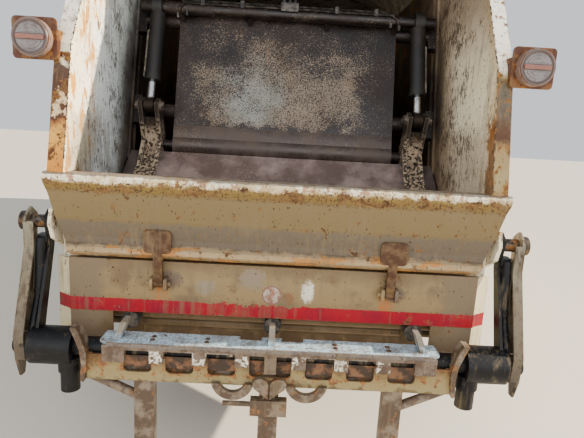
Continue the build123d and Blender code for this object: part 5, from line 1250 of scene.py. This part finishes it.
shape = bmesh.new()
for side in (-1, 1):
    # a collar closes each crank plate's boss
    for way in (-1, 1):
        x = CRANK_X + way * (CRANK_GAP + CRANK_PLATE + BOSS_PROUD)
        collar(shape, (side * x, CRANK_EYE.y, CRANK_EYE.z), side * way, 0.030)
piece("crank_collars", "blade_body", old_grease, shape)


# Lifter arms: flame cut plates on a tube, tan and brown along their outer strips and
# black with grease inside. A turned cap closes each pivot above, and three bolts hold
# each hub below.
ARM_OUT = 1.189
# the pivot and the lifting shaft, (y, z)
LIFT_PIVOT = (-3.840, 1.280)
SHAFT = (-3.985, 0.716)
HUB_BOLT_CIRCLE = 0.024


def arm_paint(tree, at):
    """Tan and brown along the outer strips, black with grease inside and on the hubs."""
    away = from_middle(tree, at)
    outer = soft_step(tree, away, ARM_OUT - 0.049, ARM_OUT - 0.046)
    outer = overlap(tree, outer, node(tree, "Math", {0: away, 1: ARM_OUT + 0.001}, operation="LESS_THAN"))
    dark = blended(tree, soft_step(tree, mottle(tree, at, 0.06, 8.0), 0.46, 0.64), "#020305", "#0d0e12")
    height = wandering(tree, at, "Z", 0.10, 0.08)
    strip = zones(tree, height, [(0.56, "#352f2b"), (0.74, "#5b5245"), (1.05, "#6d634f"), (1.35, "#7c7666")])
    grain = soft_step(tree, mottle(tree, at, 0.03, 8.0, 0.7, stretch=(1, 1, 4)), 0.45, 0.60)
    strip = blended(tree, grain, strip, "#504232")
    return blended(tree, outer, dark, strip)


arm_enamel = flaking_enamel("chipped arm enamel", arm_paint, rust="#241d19", ochre="#3a322b", bare=0.04,
                            pits=0.3, streaks=0.2, rubbed=0.4, patch=0.05)
dress(arm_enamel, "lift_arms")
shape = bmesh.new()
for side in (-1, 1):
    for i in range(3):
        angle = radians(90 + 120 * i)
        y = SHAFT[0] + HUB_BOLT_CIRCLE * cos(angle)
        z = SHAFT[1] + HUB_BOLT_CIRCLE * sin(angle)
        bolt(shape, (side * (ARM_OUT + 0.018), y, z), (side, 0, 0), 0.007, 0.006)
piece("hub_bolts", "bin_lifter", rusted_bolt, shape)
shape = bmesh.new()
for side in (-1, 1):
    cap = [(0, 0), (0.034, 0), (0.034, 0.004), (0.026, 0.007), (0.010, 0.0072), (0.009, 0.003), (0, 0.003)]
    turned(shape, cap, (side * (ARM_OUT + 0.0335), *LIFT_PIVOT), (side, 0, 0), 32)
piece("pivot_collars", "tailgate", old_grease, shape)


# Comb and latch: a plate with U cut-outs that a bin's rim hangs on, folded legs and
# struts, and cast cams below the middle. Cream enamel, half gone to rust and mud.
COMB_INNER_Y = -4.048
COMB_OUTER_Y = -4.0565
COMB_HALF = 0.838


def comb_paint(tree, at):
    """Paler on the comb's plate, browner down the legs and on the latch."""
    height = wandering(tree, at, "Z", 0.08, 0.04)
    coat = zones(tree, height, [(0.24, "#4f544b"), (0.50, "#47483c"), (0.58, "#615136"), (0.60, "#8b7d56"),
                                (0.66, "#85724a"), (0.71, "#593f23"), (0.85, "#4b422e")])
    # inner faces, the latch and the hooks are brown
    y = node(tree, "SeparateXYZ", {0: at}, "Y")
    deep = soft_step(tree, y, COMB_INNER_Y - 0.002, COMB_INNER_Y + 0.002)
    proud = node(tree, "Math", {0: y, 1: COMB_OUTER_Y}, operation="LESS_THAN")
    brown = blended(tree, soft_step(tree, mottle(tree, at, 0.07, 8.0), 0.44, 0.60), "#4f4033", "#786b5b")
    return blended(tree, node(tree, "Math", {0: deep, 1: proud}, operation="MAXIMUM"), coat, brown)


def comb_rust(tree, at):
    """Rust creeps down from the cut-outs."""
    z = node(tree, "SeparateXYZ", {0: at}, "Z")
    return overlap(tree, between(tree, z, 0.618, 0.75, 0.015), 0.07)


comb_enamel = flaking_enamel("muddy comb enamel", comb_paint, rust="#6a4630", ochre="#94683e", bare=0.08,
                             pits=0.35, streaks=0.2, rubbed=0.4, patch=0.05, more=comb_rust)
dress(comb_enamel, "comb_beam")
# a rusted backing sheet behind the cut-outs keeps a bin's rim from slipping past the shaft
backing_rust = patchy_finish("rusted backing sheet", 0.75, 0.2, ("#3a2c22", "#77543a"), 0.05, (0.44, 0.62),
                             detail=7.0, relief=(0.010, 0.0008))
shape = bmesh.new()
slab(shape, (-COMB_HALF, -4.0405, 0.650), (COMB_HALF, -4.0375, 0.708))
piece("comb_backing", "bin_lifter", backing_rust, shape, smooth=0)


# Clamp plate: it closes over a bin's rim. Its top is worn blue grey, and its rear edge
# and teeth, which bite, are brown with rust.
CLAMP_REAR_Y = -4.088
BOLTS_X = (-0.55, -0.30, 0.30, 0.55)
BOLTS_Y = (-4.007, -4.043)


def clamp_paint(tree, at):
    """Blue grey on top and on the fins, brown on the rear edge and the teeth, cream on the inner teeth."""
    height = wandering(tree, at, "Z", 0.05, 0.003)
    y = node(tree, "SeparateXYZ", {0: at}, "Y")
    back = node(tree, "Math", {0: y, 1: CLAMP_REAR_Y}, operation="LESS_THAN")
    top = blended(tree, soft_step(tree, mottle(tree, at, 0.10, 8.0), 0.46, 0.66), "#abc4d0", "#8c969a")
    chips = soft_step(tree, mottle(tree, at, 0.013, 5.0, 0.65), 0.525, 0.565)
    top = blended(tree, overlap(tree, chips, 0.6), top, "#56504a")
    edge = blended(tree, soft_step(tree, mottle(tree, at, 0.05, 8.0), 0.40, 0.60), "#503f33", "#6b5c4f")
    away = from_middle(tree, at)
    inner = between(tree, away, 0.08, 0.60, 0.01)
    teeth = between(tree, height, 0.690, 0.760, 0.008)
    flakes = soft_step(tree, mottle(tree, at, 0.04, 6.0), 0.525, 0.555)
    edge = blended(tree, overlap(tree, inner, teeth, flakes), edge, "#ddd6c4")
    top = blended(tree, soft_step(tree, height, 0.800, 0.830), top, "#7c7468")
    coat = blended(tree, soft_step(tree, height, 0.772, 0.780), edge, top)
    return blended(tree, overlap(tree, back, 0.9), coat, edge)


clamp_enamel = flaking_enamel("worn clamp enamel", clamp_paint, rust="#4e4038", ochre="#80705e", bare=0.10,
                              pits=0.50, streaks=0.2, rubbed=0.6, patch=0.04)
dress(clamp_enamel, "clamp_bar")
shape = bmesh.new()
for y in BOLTS_Y:
    for x in BOLTS_X:
        bolt(shape, (x, y, 0.790), (0, 0, 1), 0.008, 0.004)
piece("clamp_bolts", "bin_lifter", rusted_bolt, shape)


# Number plate: a blank sheet of pressed aluminium 2 mm thick, fixed flat to the bumper on
# the left of the towing clevis.
PLATE_WIDE = 0.52
PLATE_THICK = 0.002
PLATE_TALL = 0.112
PLATE_AT = Vector((-0.40, 4.0985, 0.615))
plate_aluminium = patchy_finish("pressed aluminium plate", 0.42, 0.0, ("#dedbd0", "#8f826c"),
                                0.06, (0.42, 0.70), relief=(0.010, 0.0004))
shape = bmesh.new()
plate_half = Vector((PLATE_WIDE, PLATE_THICK, PLATE_TALL)) / 2
slab(shape, PLATE_AT - plate_half, PLATE_AT + plate_half)
piece("front_number_plate", "chassis", plate_aluminium, shape)


# Side markers: round amber lenses of moulded acrylic, two on each black rubber seat that
# is screwed to a side guard.
GUARD_X = 1.200
MARKERS_Y = (-0.55, 0.60, 1.75)
MARKER_Z = 0.870
SEAT_HALF = Vector((0.003, 0.055, 0.024))
LENS_PROFILE = [(0, 0), (0.020, 0), (0.020, 0.005), (0.016, 0.010), (0, 0.011)]
marker_acrylic = patchy_finish("amber marker acrylic", 0.18, 0.0, ("#e07a1e", "#a85a1c"), 0.02, (0.42, 0.72),
                               sockets={"Coat Weight": 0.6})
lenses = bmesh.new()
seats = bmesh.new()
for side in (-1, 1):
    for y in MARKERS_Y:
        place = Vector((side * GUARD_X, y, MARKER_Z))
        slab(seats, place - SEAT_HALF, place + SEAT_HALF)
        for along in (-0.024, 0.024):
            turned(lenses, LENS_PROFILE, place + Vector((side * 0.002, along, 0)), (side, 0, 0), 24)
piece("marker_seats", "chassis", seal_rubber, seats)
piece("marker_lenses", "chassis", marker_acrylic, lenses)
